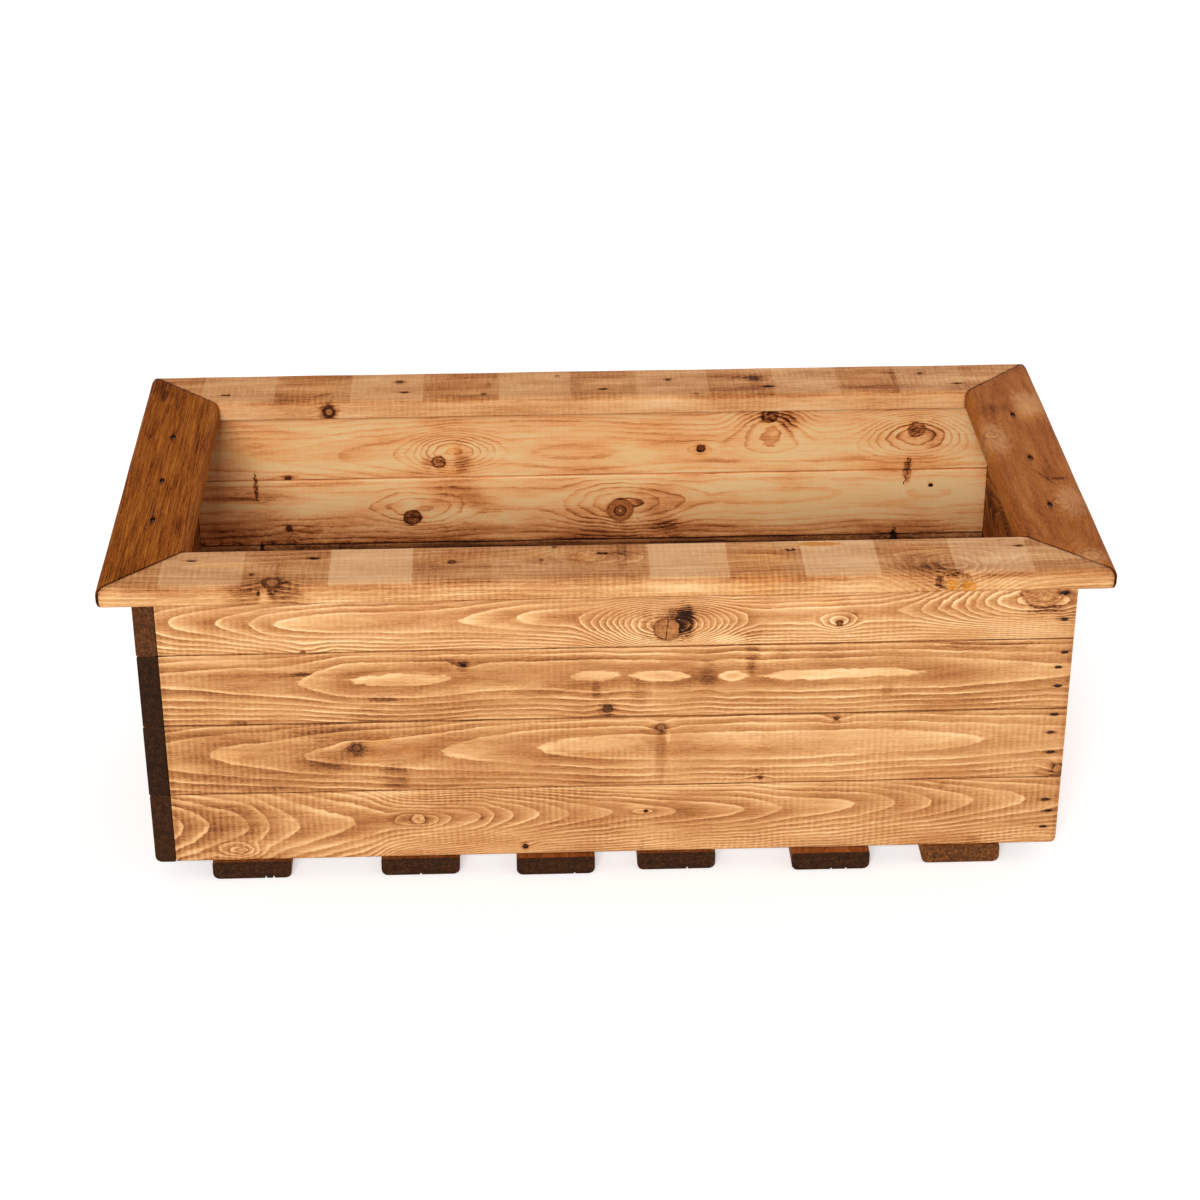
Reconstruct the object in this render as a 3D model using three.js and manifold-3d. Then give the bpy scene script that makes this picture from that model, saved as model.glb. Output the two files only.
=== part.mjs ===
// Window box planter: four walls of stacked softwood boards under a mitred
// rim, on six base slats. Millimetres, +Z up, +X along the length, the front
// faces -Y. The origin is the middle of the footprint, on the ground.

import * as THREE from 'three';
import { mergeVertices } from 'three/addons/utils/BufferGeometryUtils.js';
import Module from 'manifold-3d';

const wasm = await Module();
wasm.setup();

// ---- Driving dimensions (mm) ----

// The walls are laid up from planed boards in courses. One course of each wall
// is sawn narrower by the rip loss.
const board_width = 70;
const board_thickness = 18;
const course_count = 4;
const rip_loss = 2.5;
const arris_radius = 1.5;
const course_gap = 0.4; // between courses, and half of it at the rim and base
const butt_gap = 0.4; // between a board's butt end and the wall that laps it
const course_proud = 0.4; // how far a course stands out at most
const course_proud_shares = [0, 1, 0.25, 0.75];

// The box, measured over its walls.
const wall_length = 805;
const wall_depth = 365;
const foot_radius = 6; // rounded lower edge at both ends of the box

// The mitred rim.
const rim_width = 70;
const rim_thickness = 18;
const rim_overhang_end = 24;
const rim_overhang_side = 39;
const rim_outer_radius = 8;
const rim_inner_radius = 6;
const rim_under_radius = 4;
const rim_tip_radius = 6; // the rim's four corners, seen from above
const mitre_gap = 0.6;

// The base slats, spread by eye. As shares of a slat's width: each one's shift
// along the box and the places of the drying checks in its underside. As shares
// of its thickness: how far it stands forward of the front wall, and the depth
// of each check.
const slat_width = 70;
const slat_thickness = 18;
const slat_end_inset = 50; // from the end of the box to the first slat's edge
const slat_spare = 3; // slat length beyond the depth of the box
const slat_lower_radius = 6;
const slat_upper_radius = 2;
const check_width = 2.2;
const slats = [
  { shift: 0, forward: 0.11, checks: [[0.17, 0.14], [0.27, 0.15]] },
  { shift: 0.33, forward: 0.11, checks: [[0, 0.11]] },
  { shift: 0.24, forward: 0.33, checks: [[0.24, 0.09]] },
  { shift: -0.03, forward: 0.11, checks: [[0.14, 0.13]] },
  { shift: 0.13, forward: 0.44, checks: [[0.01, 0.09], [0.2, 0.1]] },
  { shift: 0, forward: 0.06, checks: [] },
];

// Oval lost-head nails, punched below the face.
const nail_length = 50;
const nail_head_radius = 1.3;
const nail_head_height = 1.8;
const nail_shank_radius = 0.9;
const nail_point_height = 4;
const nail_oval = 1.9; // long side over short side
const nail_sink = 1.2;
const nail_clearance = 0.3;
// The corner nails of each course: the share of its height, and how far the
// nail wanders from the middle of the board it enters, in board thicknesses.
const corner_nails = [
  [[0.25, -0.19], [0.49, 0], [0.66, -0.19]],
  [[0.37, -0.13], [0.66, -0.22], [0.92, -0.11]],
  [[0.33, -0.06], [0.6, -0.12], [0.81, 0.12]],
  [[0.29, -0.03], [0.67, -0.17]],
];
const rim_nail_inset = 11; // from the wall's outer face
const rim_nail_end_margin = 88; // from the end of the wall, on an end wall
const rim_nail_side_margin = 52; // the same, on a long wall
// How far each of a rim board's nails strays along it, from the left as seen
// from outside, in board thicknesses. Each item is one nail.
const rim_nail_strays = {
  front: [0, -4, -0.2, -1.1, 0],
  right: [0, 0.1, 0.1],
  back: [0, 0.4, -0.5, 0.3, 0],
  left: [0.9, 0.8, -0.1],
};
const slat_nail_spread = 36; // between the two nails at each end of a slat

// Corrugated steel fasteners, driven across the joints of the long walls from
// inside, one near each end. On each joint: how far the one near the butt end
// and the one near the lap end stray inwards and lie below the joint, as shares
// of their length, and their lean in degrees.
const strip_length = 28;
const strip_depth = 10;
const strip_gauge = 0.6;
const strip_wave_height = 1; // from the centre line to a crest
const strip_wave_count = 4;
const strip_sink = 0.5;
const strip_clearance = 0.3;
const strip_butt_inset = 78; // from the wall's end
const strip_lap_inset = 75;
const strips = [
  [{ stray: 0.14, drop: 0.25, lean: 3 }, { stray: 0.04, drop: 0.29, lean: -2 }],
  [{ stray: 0.36, drop: 0.22, lean: -5 }, { stray: 0.07, drop: 0.35, lean: 2 }],
  [{ stray: 0, drop: 0.07, lean: -10 }, { stray: 0, drop: 0.22, lean: 3 }],
];

// ---- Sizes that follow ----

const ripped_width = board_width - rip_loss;
const wall_height = (course_count - 1) * board_width + ripped_width;
const wall_top = slat_thickness + wall_height;
const rim_top = wall_top + course_gap / 2 + rim_thickness;
const slat_length = wall_depth + slat_spare;
const overcut = 2; // how far a cutter runs past the face that it opens
const arc_steps = 4; // facets in an arc, and half of them in a fine one
const fine_radius = 2;
const ring_steps = 8; // facets round a nail
const wave_steps = 6; // facets in one wave of a strip

// ---- Materials ----

const paint = (r, g, b, roughness, metalness) => new THREE.MeshStandardMaterial({
  color: new THREE.Color().setRGB(r, g, b, THREE.SRGBColorSpace),
  roughness,
  metalness,
});
const materials = {
  long_wall: paint(0.8, 0.57, 0.35, 0.6, 0),
  end_wall: paint(0.64, 0.42, 0.23, 0.62, 0),
  rim: paint(0.78, 0.52, 0.29, 0.58, 0),
  base: paint(0.46, 0.28, 0.17, 0.75, 0),
  nail: paint(0.3, 0.25, 0.22, 0.5, 0.85),
  strip: paint(0.34, 0.29, 0.25, 0.5, 0.85),
};

// ---- Solids and meshes ----

// The list's item for a copy, from the start again when the list runs out.
const nth = (list, i) => list[i % list.length];

// A closed geometry as a solid to join and cut. Triangles that collapse at the
// poles of a turned shape are left out.
function solid(geometry) {
  geometry.deleteAttribute('normal');
  geometry.deleteAttribute('uv');
  const merged = mergeVertices(geometry, 1e-4);
  const triangles = [];
  for (let i = 0; i < merged.index.count; i += 3) {
    const [a, b, c] = merged.index.array.slice(i, i + 3);
    if (a !== b && b !== c && c !== a) triangles.push(a, b, c);
  }
  return new wasm.Manifold(new wasm.Mesh({
    numProp: 3,
    vertProperties: new Float32Array(merged.attributes.position.array),
    triVerts: new Uint32Array(triangles),
  }));
}

// A solid as a named mesh, with its geometry about its own middle.
function meshOf({ name, body, material }) {
  const { min, max } = body.boundingBox();
  const middle = min.map((low, axis) => (low + max[axis]) / 2);
  const { vertProperties, triVerts } = body.translate(middle.map((c) => -c)).getMesh();
  const geometry = new THREE.BufferGeometry();
  geometry.setAttribute('position', new THREE.BufferAttribute(vertProperties, 3));
  geometry.setIndex(new THREE.BufferAttribute(triVerts, 1));
  geometry.computeVertexNormals();
  const mesh = new THREE.Mesh(geometry, material);
  mesh.name = name;
  mesh.position.fromArray(middle);
  return mesh;
}

function groupOf(pieces) {
  const group = new THREE.Group();
  for (const piece of pieces) group.add(meshOf(piece));
  return group;
}

// Points of an arc about (x, y), its angles in degrees, or one sharp corner.
function arc(x, y, radius, from, to) {
  if (radius === 0) return [new THREE.Vector2(x, y)];
  const steps = radius > fine_radius ? arc_steps : arc_steps / 2;
  return Array.from({ length: steps + 1 }, (_, i) => {
    const angle = THREE.MathUtils.degToRad(from + ((to - from) * i) / steps);
    return new THREE.Vector2(x + radius * Math.cos(angle), y + radius * Math.sin(angle));
  });
}

// A rectangle about the origin, its corners rounded by [lower left, lower
// right, upper right, upper left], with V cuts in its lower side.
function roundedRectangle(width, height, [ll, lr, ur, ul], checks = []) {
  const x = width / 2;
  const y = height / 2;
  const cuts = checks.flatMap(([place, depth]) => [
    new THREE.Vector2(place * width - check_width / 2, -y),
    new THREE.Vector2(place * width, -y + depth * height),
    new THREE.Vector2(place * width + check_width / 2, -y),
  ]);
  return new THREE.Shape([
    ...arc(-x + ll, -y + ll, ll, 180, 270),
    ...cuts,
    ...arc(x - lr, -y + lr, lr, 270, 360),
    ...arc(x - ur, y - ur, ur, 0, 90),
    ...arc(-x + ul, y - ul, ul, 90, 180),
  ]);
}

// An outline carried along Z, to either side of the origin.
function prism(outline, length) {
  const geometry = new THREE.ExtrudeGeometry(outline, {
    depth: length,
    bevelEnabled: false,
  });
  return geometry.translate(0, 0, -length / 2);
}

// An outline in (Y, Z) carried along X, and one in (X, Z) carried along Y.
const alongX = (outline, length) =>
  solid(prism(outline, length).rotateX(Math.PI / 2).rotateZ(Math.PI / 2));
const alongY = (outline, length) => solid(prism(outline, length).rotateX(Math.PI / 2));

// ---- Fasteners ----

// A nail standing in Z with its head's top at z = 0. A clearance widens it to
// the hole that holds it, open through the face above.
function nailSolid(clearance) {
  const head = nail_head_radius + clearance;
  const shank = nail_shank_radius + clearance;
  const top = clearance > 0 ? nail_sink + overcut : 0;
  const point = -nail_length - clearance;
  const profile = [
    [0, point],
    [shank, point + nail_point_height],
    [shank, -nail_head_height - clearance],
    [head, -nail_head_height / 2 - clearance],
    [head, top],
    [0, top],
  ];
  const points = profile.map(([radius, height]) => new THREE.Vector2(radius, height));
  const geometry = new THREE.LatheGeometry(points, ring_steps);
  return solid(geometry.rotateX(Math.PI / 2).scale(nail_oval, 1, 1));
}

// The dent that a punched nail leaves, its floor at z = 0.
function nailSeat() {
  const head = nail_head_radius + nail_clearance;
  const depth = nail_sink + overcut;
  const geometry = new THREE.CylinderGeometry(head, head, depth, ring_steps);
  geometry.rotateX(Math.PI / 2).translate(0, 0, depth / 2).scale(nail_oval, 1, 1);
  return solid(geometry);
}

const nail = nailSolid(0);
const nail_hole = nailSolid(nail_clearance);
const nail_seat = nailSeat();

// Turns that point a nail's head out of a face, its long side along the grain.
const out_of_front = [90, 0, 0];
const out_of_top = [0, 0, 0];
const out_of_base = [180, 0, 90];

// A nail that is a piece of its own, in its hole, or only the dent of one.
function fastened(turn, at, name) {
  const hole = (name ? nail_hole : nail_seat).rotate(turn).translate(at);
  if (!name) return { hole };
  return { name, body: nail.rotate(turn).translate(at), hole, material: materials.nail };
}

// A wavy strip that stands in Z and reaches from y = 0 into the wood at -y.
function stripSolid(clearance) {
  const half = strip_length / 2 + clearance;
  const side = strip_gauge / 2 + clearance;
  const steps = strip_wave_count * wave_steps;
  const edge = (offset) => Array.from({ length: steps + 1 }, (_, i) => {
    const z = -half + (2 * half * i) / steps;
    const phase = (2 * Math.PI * strip_wave_count * z) / strip_length;
    return new THREE.Vector2(strip_wave_height * Math.sin(phase) + offset, z);
  });
  const outline = new THREE.Shape([...edge(side), ...edge(-side).reverse()]);
  const inward = strip_depth + clearance;
  const outward = clearance > 0 ? overcut : 0;
  return alongY(outline, inward + outward).translate([0, (outward - inward) / 2, 0]);
}

const strip = stripSolid(0);
const strip_hole = stripSolid(strip_clearance);

// ---- Walls ----

// Every wall is drawn seen from outside: its outer face looks along -Y, its
// left end butts against the wall before it, and its right end laps over the
// wall after it. `span` is the box's size along the wall, `reach` the distance
// from the middle of the box to the wall's outer face.
const long_wall = { span: wall_length, reach: wall_depth / 2, long: true };
const end_wall = { span: wall_depth, reach: wall_length / 2, long: false };
const top_course = course_count - 1;
const walls = [
  { ...long_wall, name: 'front', side: 'front', ripped: top_course, turn: 0 },
  { ...end_wall, name: 'right_end', side: 'right', ripped: top_course, turn: 90 },
  { ...long_wall, name: 'back', side: 'back', ripped: 0, turn: 180 },
  { ...end_wall, name: 'left_end', side: 'left', ripped: top_course, turn: 270 },
];

// The height of each course and its lower edge's height above the ground.
function courses({ ripped }) {
  const heights = Array.from({ length: course_count },
    (_, i) => (i === ripped ? ripped_width : board_width));
  return heights.map((height, i) => ({
    height,
    foot: heights.slice(0, i).reduce((sum, below) => sum + below, slat_thickness),
    proud: course_proud * nth(course_proud_shares, i),
  }));
}

// A board: its section along X, met by its face along Y. The lower edge is
// rounded all along an end wall, and at the lap end of a long one.
function board(wall, { height, foot, proud }, index) {
  const left = -wall.span / 2 + board_thickness + butt_gap;
  const right = wall.span / 2;
  const rounded = index === 0 ? foot_radius : 0;
  const edge = wall.long ? arris_radius : Math.max(rounded, arris_radius);
  const end = wall.long ? rounded : 0;
  const solid_height = height - course_gap;
  const section = roundedRectangle(board_thickness, solid_height,
    [edge, arris_radius, arris_radius, arris_radius]);
  const face = roundedRectangle(right - left, solid_height, [0, end, 0, 0]);
  return alongX(section, right - left)
    .intersect(alongY(face, board_thickness + overcut))
    .translate([(left + right) / 2, board_thickness / 2 - wall.reach - proud, foot + height / 2])
    .rotate([0, 0, wall.turn]);
}

const wall_boards = walls.flatMap((wall) => courses(wall).map((course, i) => ({
  name: `${wall.name}_course_${i + 1}`,
  body: board(wall, course, i),
  material: wall.long ? materials.long_wall : materials.end_wall,
})));

// Nails through a wall's lap end into the butt end of the next wall. Those of
// the front wall are pieces, and the rest are dents.
function cornerNails(wall) {
  const middle = wall.span / 2 - board_thickness / 2;
  const places = courses(wall).flatMap(({ height, foot, proud }, i) =>
    nth(corner_nails, i).map(([share, wander]) =>
      [
        middle + wander * board_thickness,
        nail_sink - wall.reach - proud,
        foot + share * height,
      ]));
  return places.map((at, i) => {
    const name = wall.side === 'front' ? `corner_nail_${i + 1}` : null;
    return turned(fastened(out_of_front, at, name), wall.turn);
  });
}

function turned(piece, angle) {
  const result = { ...piece, hole: piece.hole.rotate([0, 0, angle]) };
  if (piece.body) result.body = piece.body.rotate([0, 0, angle]);
  return result;
}

// The corrugated fasteners of a long wall, two on each joint between courses.
function wallStrips(wall) {
  const butt = -wall.span / 2 + board_thickness + butt_gap + strip_butt_inset;
  const lap = wall.span / 2 - strip_lap_inset;
  const y = board_thickness - wall.reach - strip_sink;
  const joints = courses(wall).slice(1).map(({ foot }) => foot);
  return joints.flatMap((joint, i) => nth(strips, i).map(({ stray, drop, lean }, at_lap) => {
    const x = at_lap ? lap - stray * strip_length : butt + stray * strip_length;
    const z = joint - drop * strip_length;
    const set = (body) => body.rotate([0, lean, 0]).translate([x, y, z]);
    return turned({
      name: `${wall.name}_corrugated_fastener_${2 * i + at_lap + 1}`,
      body: set(strip),
      hole: set(strip_hole),
      material: materials.strip,
    }, wall.turn);
  }));
}

// ---- Rim ----

// A rim board seen from above, its outer edge towards -Y: slanted ends that
// meet the neighbours' along the mitres, and rounded tips.
const mitre_angle = 45;
function mitredOutline(span, reach) {
  const back = (mitre_gap / 2) * Math.SQRT2;
  const inner = span / 2 - rim_width - back;
  const tip = span / 2 - rim_tip_radius - back;
  const tip_y = rim_tip_radius - reach;
  return new THREE.Shape([
    new THREE.Vector2(inner, rim_width - reach),
    new THREE.Vector2(-inner, rim_width - reach),
    ...arc(-tip, tip_y, rim_tip_radius, 270 - mitre_angle, 270),
    ...arc(tip, tip_y, rim_tip_radius, 270, 270 + mitre_angle),
  ]);
}

function rimBoard({ span, reach, turn, long }) {
  const beyond = long ? rim_overhang_end : rim_overhang_side;
  const forward = long ? rim_overhang_side : rim_overhang_end;
  const plan = mitredOutline(span + 2 * beyond, reach + forward);
  const section = roundedRectangle(rim_width, rim_thickness,
    [rim_under_radius, arris_radius, rim_inner_radius, rim_outer_radius]);
  return solid(prism(plan, rim_thickness + overcut))
    .intersect(alongX(section, span + 2 * beyond)
      .translate([0, rim_width / 2 - reach - forward, 0]))
    .translate([0, 0, rim_top - rim_thickness / 2])
    .rotate([0, 0, turn]);
}

const rim_boards = walls.map((wall) => ({
  name: `rim_${wall.side}`,
  body: rimBoard(wall),
  material: materials.rim,
}));

// Nails down through a rim board into the top of its wall. Those of the rim's
// end boards are pieces, and the rest are dents.
function rimNails(wall) {
  const strays = rim_nail_strays[wall.side];
  const margin = wall.long ? rim_nail_side_margin : rim_nail_end_margin;
  return strays.map((stray, i) => {
    const share = (2 * i) / (strays.length - 1) - 1;
    const x = (wall.span / 2 - margin) * share + stray * board_thickness;
    const name = wall.long ? null : `rim_${wall.side}_nail_${i + 1}`;
    const at = [x, rim_nail_inset - wall.reach, rim_top - nail_sink];
    return turned(fastened(out_of_top, at, name), wall.turn);
  });
}

// ---- Base ----

const slat_run = wall_length - 2 * slat_end_inset - slat_width;
const slat_pitch = slat_run / (slats.length - 1);
const slat_places = slats.map(({ shift, forward, checks }, i) => ({
  x: i * slat_pitch - slat_run / 2 + shift * slat_width,
  y: (slat_length - wall_depth) / 2 - forward * slat_thickness,
  checks,
}));

const base_slats = slat_places.map(({ x, y, checks }, i) => ({
  name: `base_slat_${i + 1}`,
  body: alongY(
    roundedRectangle(slat_width, slat_thickness - course_gap / 2,
      [slat_lower_radius, slat_lower_radius, slat_upper_radius, slat_upper_radius], checks),
    slat_length,
  ).translate([x, y, (slat_thickness - course_gap / 2) / 2]),
  material: materials.base,
}));

// The dents of the nails up through the slats into the long walls.
const slat_nails = slat_places.flatMap(({ x }) => [-1, 1].flatMap((wall_side) =>
  [-1, 1].map((slat_side) => fastened(out_of_base, [
    x + (slat_side * slat_nail_spread) / 2,
    (wall_side * (wall_depth - board_thickness)) / 2,
    nail_sink,
  ]))));

// ---- Assembly ----

const fasteners = [
  ...walls.flatMap(cornerNails),
  ...walls.filter(({ long }) => long).flatMap(wallStrips),
  ...walls.flatMap(rimNails),
  ...slat_nails,
];

// A board with the holes and dents of every fastener that reaches it.
function drilled(piece) {
  const meets = (a, b) => a.min.every((low, axis) =>
    low < b.max[axis] && b.min[axis] < a.max[axis]);
  const box = piece.body.boundingBox();
  const cuts = fasteners.filter(({ hole }) => meets(box, hole.boundingBox()));
  const body = cuts.reduce((rest, { hole }) => rest.subtract(hole), piece.body);
  return { ...piece, body };
}

const planter = new THREE.Group();
planter.add(
  groupOf(wall_boards.map(drilled)),
  groupOf(rim_boards.map(drilled)),
  groupOf(base_slats.map(drilled)),
  groupOf(fasteners.filter(({ body }) => body)),
);

export default planter;
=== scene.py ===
"""Window box planter: the finish of its boards, its rim, its nails and a plain stage."""

from math import pi, radians, sqrt

import bpy
import numpy as np
from bpy.props import FloatProperty, FloatVectorProperty, PointerProperty
from bpy.types import Operator, Panel, PropertyGroup
from mathutils import Matrix, Vector


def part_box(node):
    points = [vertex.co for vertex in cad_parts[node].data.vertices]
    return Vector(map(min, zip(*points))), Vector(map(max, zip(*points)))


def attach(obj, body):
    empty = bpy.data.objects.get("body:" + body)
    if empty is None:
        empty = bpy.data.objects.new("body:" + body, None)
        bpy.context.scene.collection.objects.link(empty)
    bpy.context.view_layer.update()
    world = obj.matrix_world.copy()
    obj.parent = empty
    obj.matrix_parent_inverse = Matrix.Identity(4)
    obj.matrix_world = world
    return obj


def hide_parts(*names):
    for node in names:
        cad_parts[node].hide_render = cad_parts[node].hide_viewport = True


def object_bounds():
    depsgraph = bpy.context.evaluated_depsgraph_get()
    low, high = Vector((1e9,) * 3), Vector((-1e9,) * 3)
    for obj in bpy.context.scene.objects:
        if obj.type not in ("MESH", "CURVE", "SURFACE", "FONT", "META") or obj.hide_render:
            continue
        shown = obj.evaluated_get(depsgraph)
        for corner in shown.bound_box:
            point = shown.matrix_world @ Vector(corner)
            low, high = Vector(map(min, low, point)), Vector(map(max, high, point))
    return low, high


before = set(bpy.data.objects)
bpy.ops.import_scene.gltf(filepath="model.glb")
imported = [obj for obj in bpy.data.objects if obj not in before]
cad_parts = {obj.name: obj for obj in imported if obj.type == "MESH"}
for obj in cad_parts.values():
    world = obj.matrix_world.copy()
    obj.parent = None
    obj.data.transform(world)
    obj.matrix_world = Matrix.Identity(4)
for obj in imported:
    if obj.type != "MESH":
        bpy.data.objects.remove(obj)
CAD_BOX = [list(corner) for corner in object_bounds()]

bl_info = {
    "name": "Window box planter",
    "version": (1, 0, 0),
    "blender": (4, 5, 0),
    "location": "3D View > Sidebar > Planter",
    "description": "Finishes a softwood window box and sets up its stage",
    "category": "Object",
}

MM = 0.001
X, Y, Z = 0, 1, 2


# ---- Colours and sizes that a user would change ----


def from_screen(red, green, blue):
    """A colour given as it looks on a screen, 0 to 255, in linear light."""
    share = np.array([red, green, blue]) / 255
    return tuple(np.where(share < 0.04045, share / 12.92, ((share + 0.055) / 1.055) ** 2.4))


def colour(name, description, *screen):
    return FloatVectorProperty(
        name=name, description=description, subtype="COLOR", min=0, max=1,
        default=from_screen(*screen),
    )


def length(name, description, millimetres):
    return FloatProperty(
        name=name, description=description, unit="LENGTH", precision=4,
        default=millimetres * MM,
    )


def power(name, description, watts):
    return FloatProperty(name=name, description=description, unit="POWER", default=watts)


class PlanterSizes(PropertyGroup):
    """Sizes of the rim's worn edges and of the tool marks in the wood."""

    rim_outer: length("Outer edge", "Radius of the rim's outer upper edge", 8)
    rim_inner: length("Inner edge", "Radius of the rim's inner upper edge", 6)
    rim_under: length("Lower edge", "Radius of the rim's outer lower edge", 4)
    rim_arris: length("Arris", "Radius of the rim's inner lower edge", 1.5)
    rim_tip: length("Tip", "Radius of the rim's four corners, seen from above", 6)
    mitre_gap: length("Mitre gap", "Gap between two rim boards along a mitre", 0.6)
    edge_wear: length("Edge wear", "How much deeper the rim's edges are worn in places", 0.5)
    dent_depth: length("Nail dent", "How deep a nail is punched below the rim's face", 1.5)
    rib_pitch: length("Planer ribs", "Distance between the marks that the planer left", 5.5)


class PlanterColours(PropertyGroup):
    """The stained wood from its darkest to its palest tone, and the steel."""

    pitch: colour("Pitch", "The darkest wood, in cracks and dead knots", 42, 22, 11)
    knot: colour("Knot", "Knots and their halos", 114, 66, 36)
    brown: colour("Brown", "Wood that took much stain", 178, 116, 66)
    tan: colour("Tan", "Plain stained wood", 213, 155, 99)
    honey: colour("Honey", "Wood that took little stain", 239, 189, 131)
    cream: colour("Cream", "The palest wood", 252, 217, 165)
    washed: colour("Washed", "Wood that drying sticks kept from the stain", 234, 186, 142)
    amber: colour("Amber", "What golden patches leave of the light", 255, 238, 196)
    end_grain: colour("End grain", "The boards' cut ends", 55, 30, 12)
    resin: colour("Resin", "Resin streaks in the rim", 214, 130, 20)
    steel: colour("Steel", "Dull steel of nails and fasteners", 46, 34, 27)
    rust: colour("Rust", "Rust on the steel", 54, 30, 18)
    floor: colour("Floor", "The floor under the planter", 246, 246, 246)


class PlanterLight(PropertyGroup):
    """The lamps and the world round the planter."""

    key: power("Key", "Power of the lamp by the camera", 200)
    back: power("Back", "Power of the lamp behind the planter", 26)
    world: FloatProperty(
        name="World", description="Brightness of the light from all sides", default=0.5)


# ---- Nodes from Python expressions ----


class Shade:
    """A node's socket in an expression: each operator adds one Math node."""

    def __init__(self, tree, socket):
        self.tree = tree
        self.socket = socket

    def math(self, operation, *values):
        return self.tree.node("ShaderNodeMath", {"operation": operation}, values)

    def __add__(self, other):
        return self.math("ADD", self, other)

    def __sub__(self, other):
        return self.math("SUBTRACT", self, other)

    def __rsub__(self, other):
        return self.math("SUBTRACT", other, self)

    def __mul__(self, other):
        return self.math("MULTIPLY", self, other)

    def __truediv__(self, other):
        return self.math("DIVIDE", self, other)

    def __rtruediv__(self, other):
        return self.math("DIVIDE", other, self)

    def __pow__(self, other):
        return self.math("POWER", self, other)

    __radd__ = __add__
    __rmul__ = __mul__

    def size(self):
        return self.math("ABSOLUTE", self)

    def wave(self):
        return self.math("SINE", self)

    def whole(self):
        return self.math("FLOOR", self)

    def part(self):
        return self.math("FRACT", self)


class Finish:
    """The nodes of a material or a world, and the ways in which they are made."""

    def __init__(self, owner):
        self.owner = owner
        owner.use_nodes = True
        self.tree = owner.node_tree
        self.tree.nodes.clear()

    def node(self, kind, settings=None, inputs=(), output=0):
        """A node of a kind, its settings made first and then its inputs joined or filled."""
        node = self.tree.nodes.new(kind)
        for name, value in (settings or {}).items():
            if name == "stops":
                self.fill_ramp(node.color_ramp, value)
            elif name == "points":
                self.fill_curve(node.mapping, value)
            elif name == "interpolation":
                node.color_ramp.interpolation = value
            else:
                setattr(node, name, value)
        for key, value in inputs.items() if isinstance(inputs, dict) else enumerate(inputs):
            if isinstance(value, Shade):
                self.tree.links.new(value.socket, node.inputs[key])
            else:
                node.inputs[key].default_value = value
        return Shade(self, node.outputs[output]) if node.outputs else None

    @staticmethod
    def fill_ramp(ramp, stops):
        while len(ramp.elements) < len(stops):
            ramp.elements.new(1)
        for element, (place, value) in zip(ramp.elements, stops):
            element.position = place
            element.color = (*value, 1) if isinstance(value, tuple) else (value, value, value, 1)

    @staticmethod
    def fill_curve(mapping, points):
        curve = mapping.curves[0]
        while len(curve.points) < len(points):
            curve.points.new(0.5, 0.5)
        for point, place in zip(curve.points, points):
            point.location = place
            point.handle_type = "AUTO_CLAMPED"
        mapping.update()

    def vector(self, operation, *values, output=0):
        return self.node("ShaderNodeVectorMath", {"operation": operation}, values, output)

    def mix(self, share, first, second, blend="MIX"):
        settings = {"data_type": "RGBA", "blend_type": blend}
        return self.node("ShaderNodeMix", settings, {0: share, 6: first, 7: second}, output=2)

    def ramp(self, value, *stops, interpolation="LINEAR"):
        settings = {"interpolation": interpolation, "stops": stops}
        return self.node("ShaderNodeValToRGB", settings, [value])

    def smooth(self, value, start, stop, low=0.0, high=1.0):
        """Rises smoothly from low to high as the value goes from start to stop."""
        settings = {"interpolation_type": "SMOOTHSTEP"}
        return self.node("ShaderNodeMapRange", settings, [value, start, stop, low, high])

    def noise(self, vector, detail=2.0, roughness=0.5):
        inputs = {"Vector": vector, "Scale": 1.0, "Detail": detail, "Roughness": roughness}
        return self.node("ShaderNodeTexNoise", None, inputs)

    def surface(self, **inputs):
        """The shader and the output, given sockets or plain values by their names."""
        named = {name.replace("_", " "): value for name, value in inputs.items()}
        shader = self.node("ShaderNodeBsdfPrincipled", None, named)
        self.node("ShaderNodeOutputMaterial", None, [shader])
        return self.owner


# ---- How each board grew ----

# Along a board u is the place in the box, and across it v is measured from the
# board's middle line, both in mm. Tones go from -0.5, the darkest wood, to 0.5,
# the palest.
#
# The grain: `rings` says how many growth rings lie between the pith and the
# seen face at each u, `flare` how much they are stretched across there, `axis`
# is the v of the figure's middle at the left and the right end, `spacing` the
# mm of a ring, and `wild` how much the rings wander. `line` is the tone of the
# rings' late wood: it takes little stain and shows pale, or shows dark where
# the stain was wiped off. `ribs`, `blotch`, `fibre` and `scratched` say how
# much the planer's ribs, the stain's blotches, the fibres and the saw's marks
# show.
#
# The stain and painted light: `tone` is the board's, and `side_tone`
# is the tone added to the rim's side faces, painted light that makes them paler
# than its top. `rosy_top` is a painted tint that makes the upper face
# rosier, for how the light falls on it. `wood` names the stain or painted tint,
# and `shine` is its gloss. `stickers` are the pale bands that drying sticks
# left, from u to u, and `sticker_tone` their strengths. `amber` and `washed`
# are golden and pale patches: the middle, half the length and width, and the
# share. `chips` are places of bare wood with their height and half of that,
# and `resin` is a streak of resin.


KNOT_ROUNDNESS = 0.94  # a knot's height over its length


def knot(u, v, radius, pull=None, core=-0.22, rim=-0.22, halo=-0.08, reach=2.0, crack=None,
         shift=(0, 0), mottle=0.3, deep=None):
    """A knot: its middle and its radius in mm. `pull` is the rings by which it
    bends the grain at most, and how far that reaches along and across, round a
    point that may be shifted. The rest are the tones of its core, its rim and
    its halo, the halo's size in radii, the angle of a crack in degrees and how
    mottled the core is. `deep` is as in `mark`."""
    pull = pull or (-1.0, 5 * radius, 2.5 * radius)
    return {
        "place": (u, v), "size": (radius, radius * KNOT_ROUNDNESS), "pull": pull, "core": core,
        "rim": rim, "halo": halo, "reach": reach, "crack": crack,
        "bend": (u + shift[0], v + shift[1]), "mottle": mottle, "deep": deep,
    }


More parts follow.
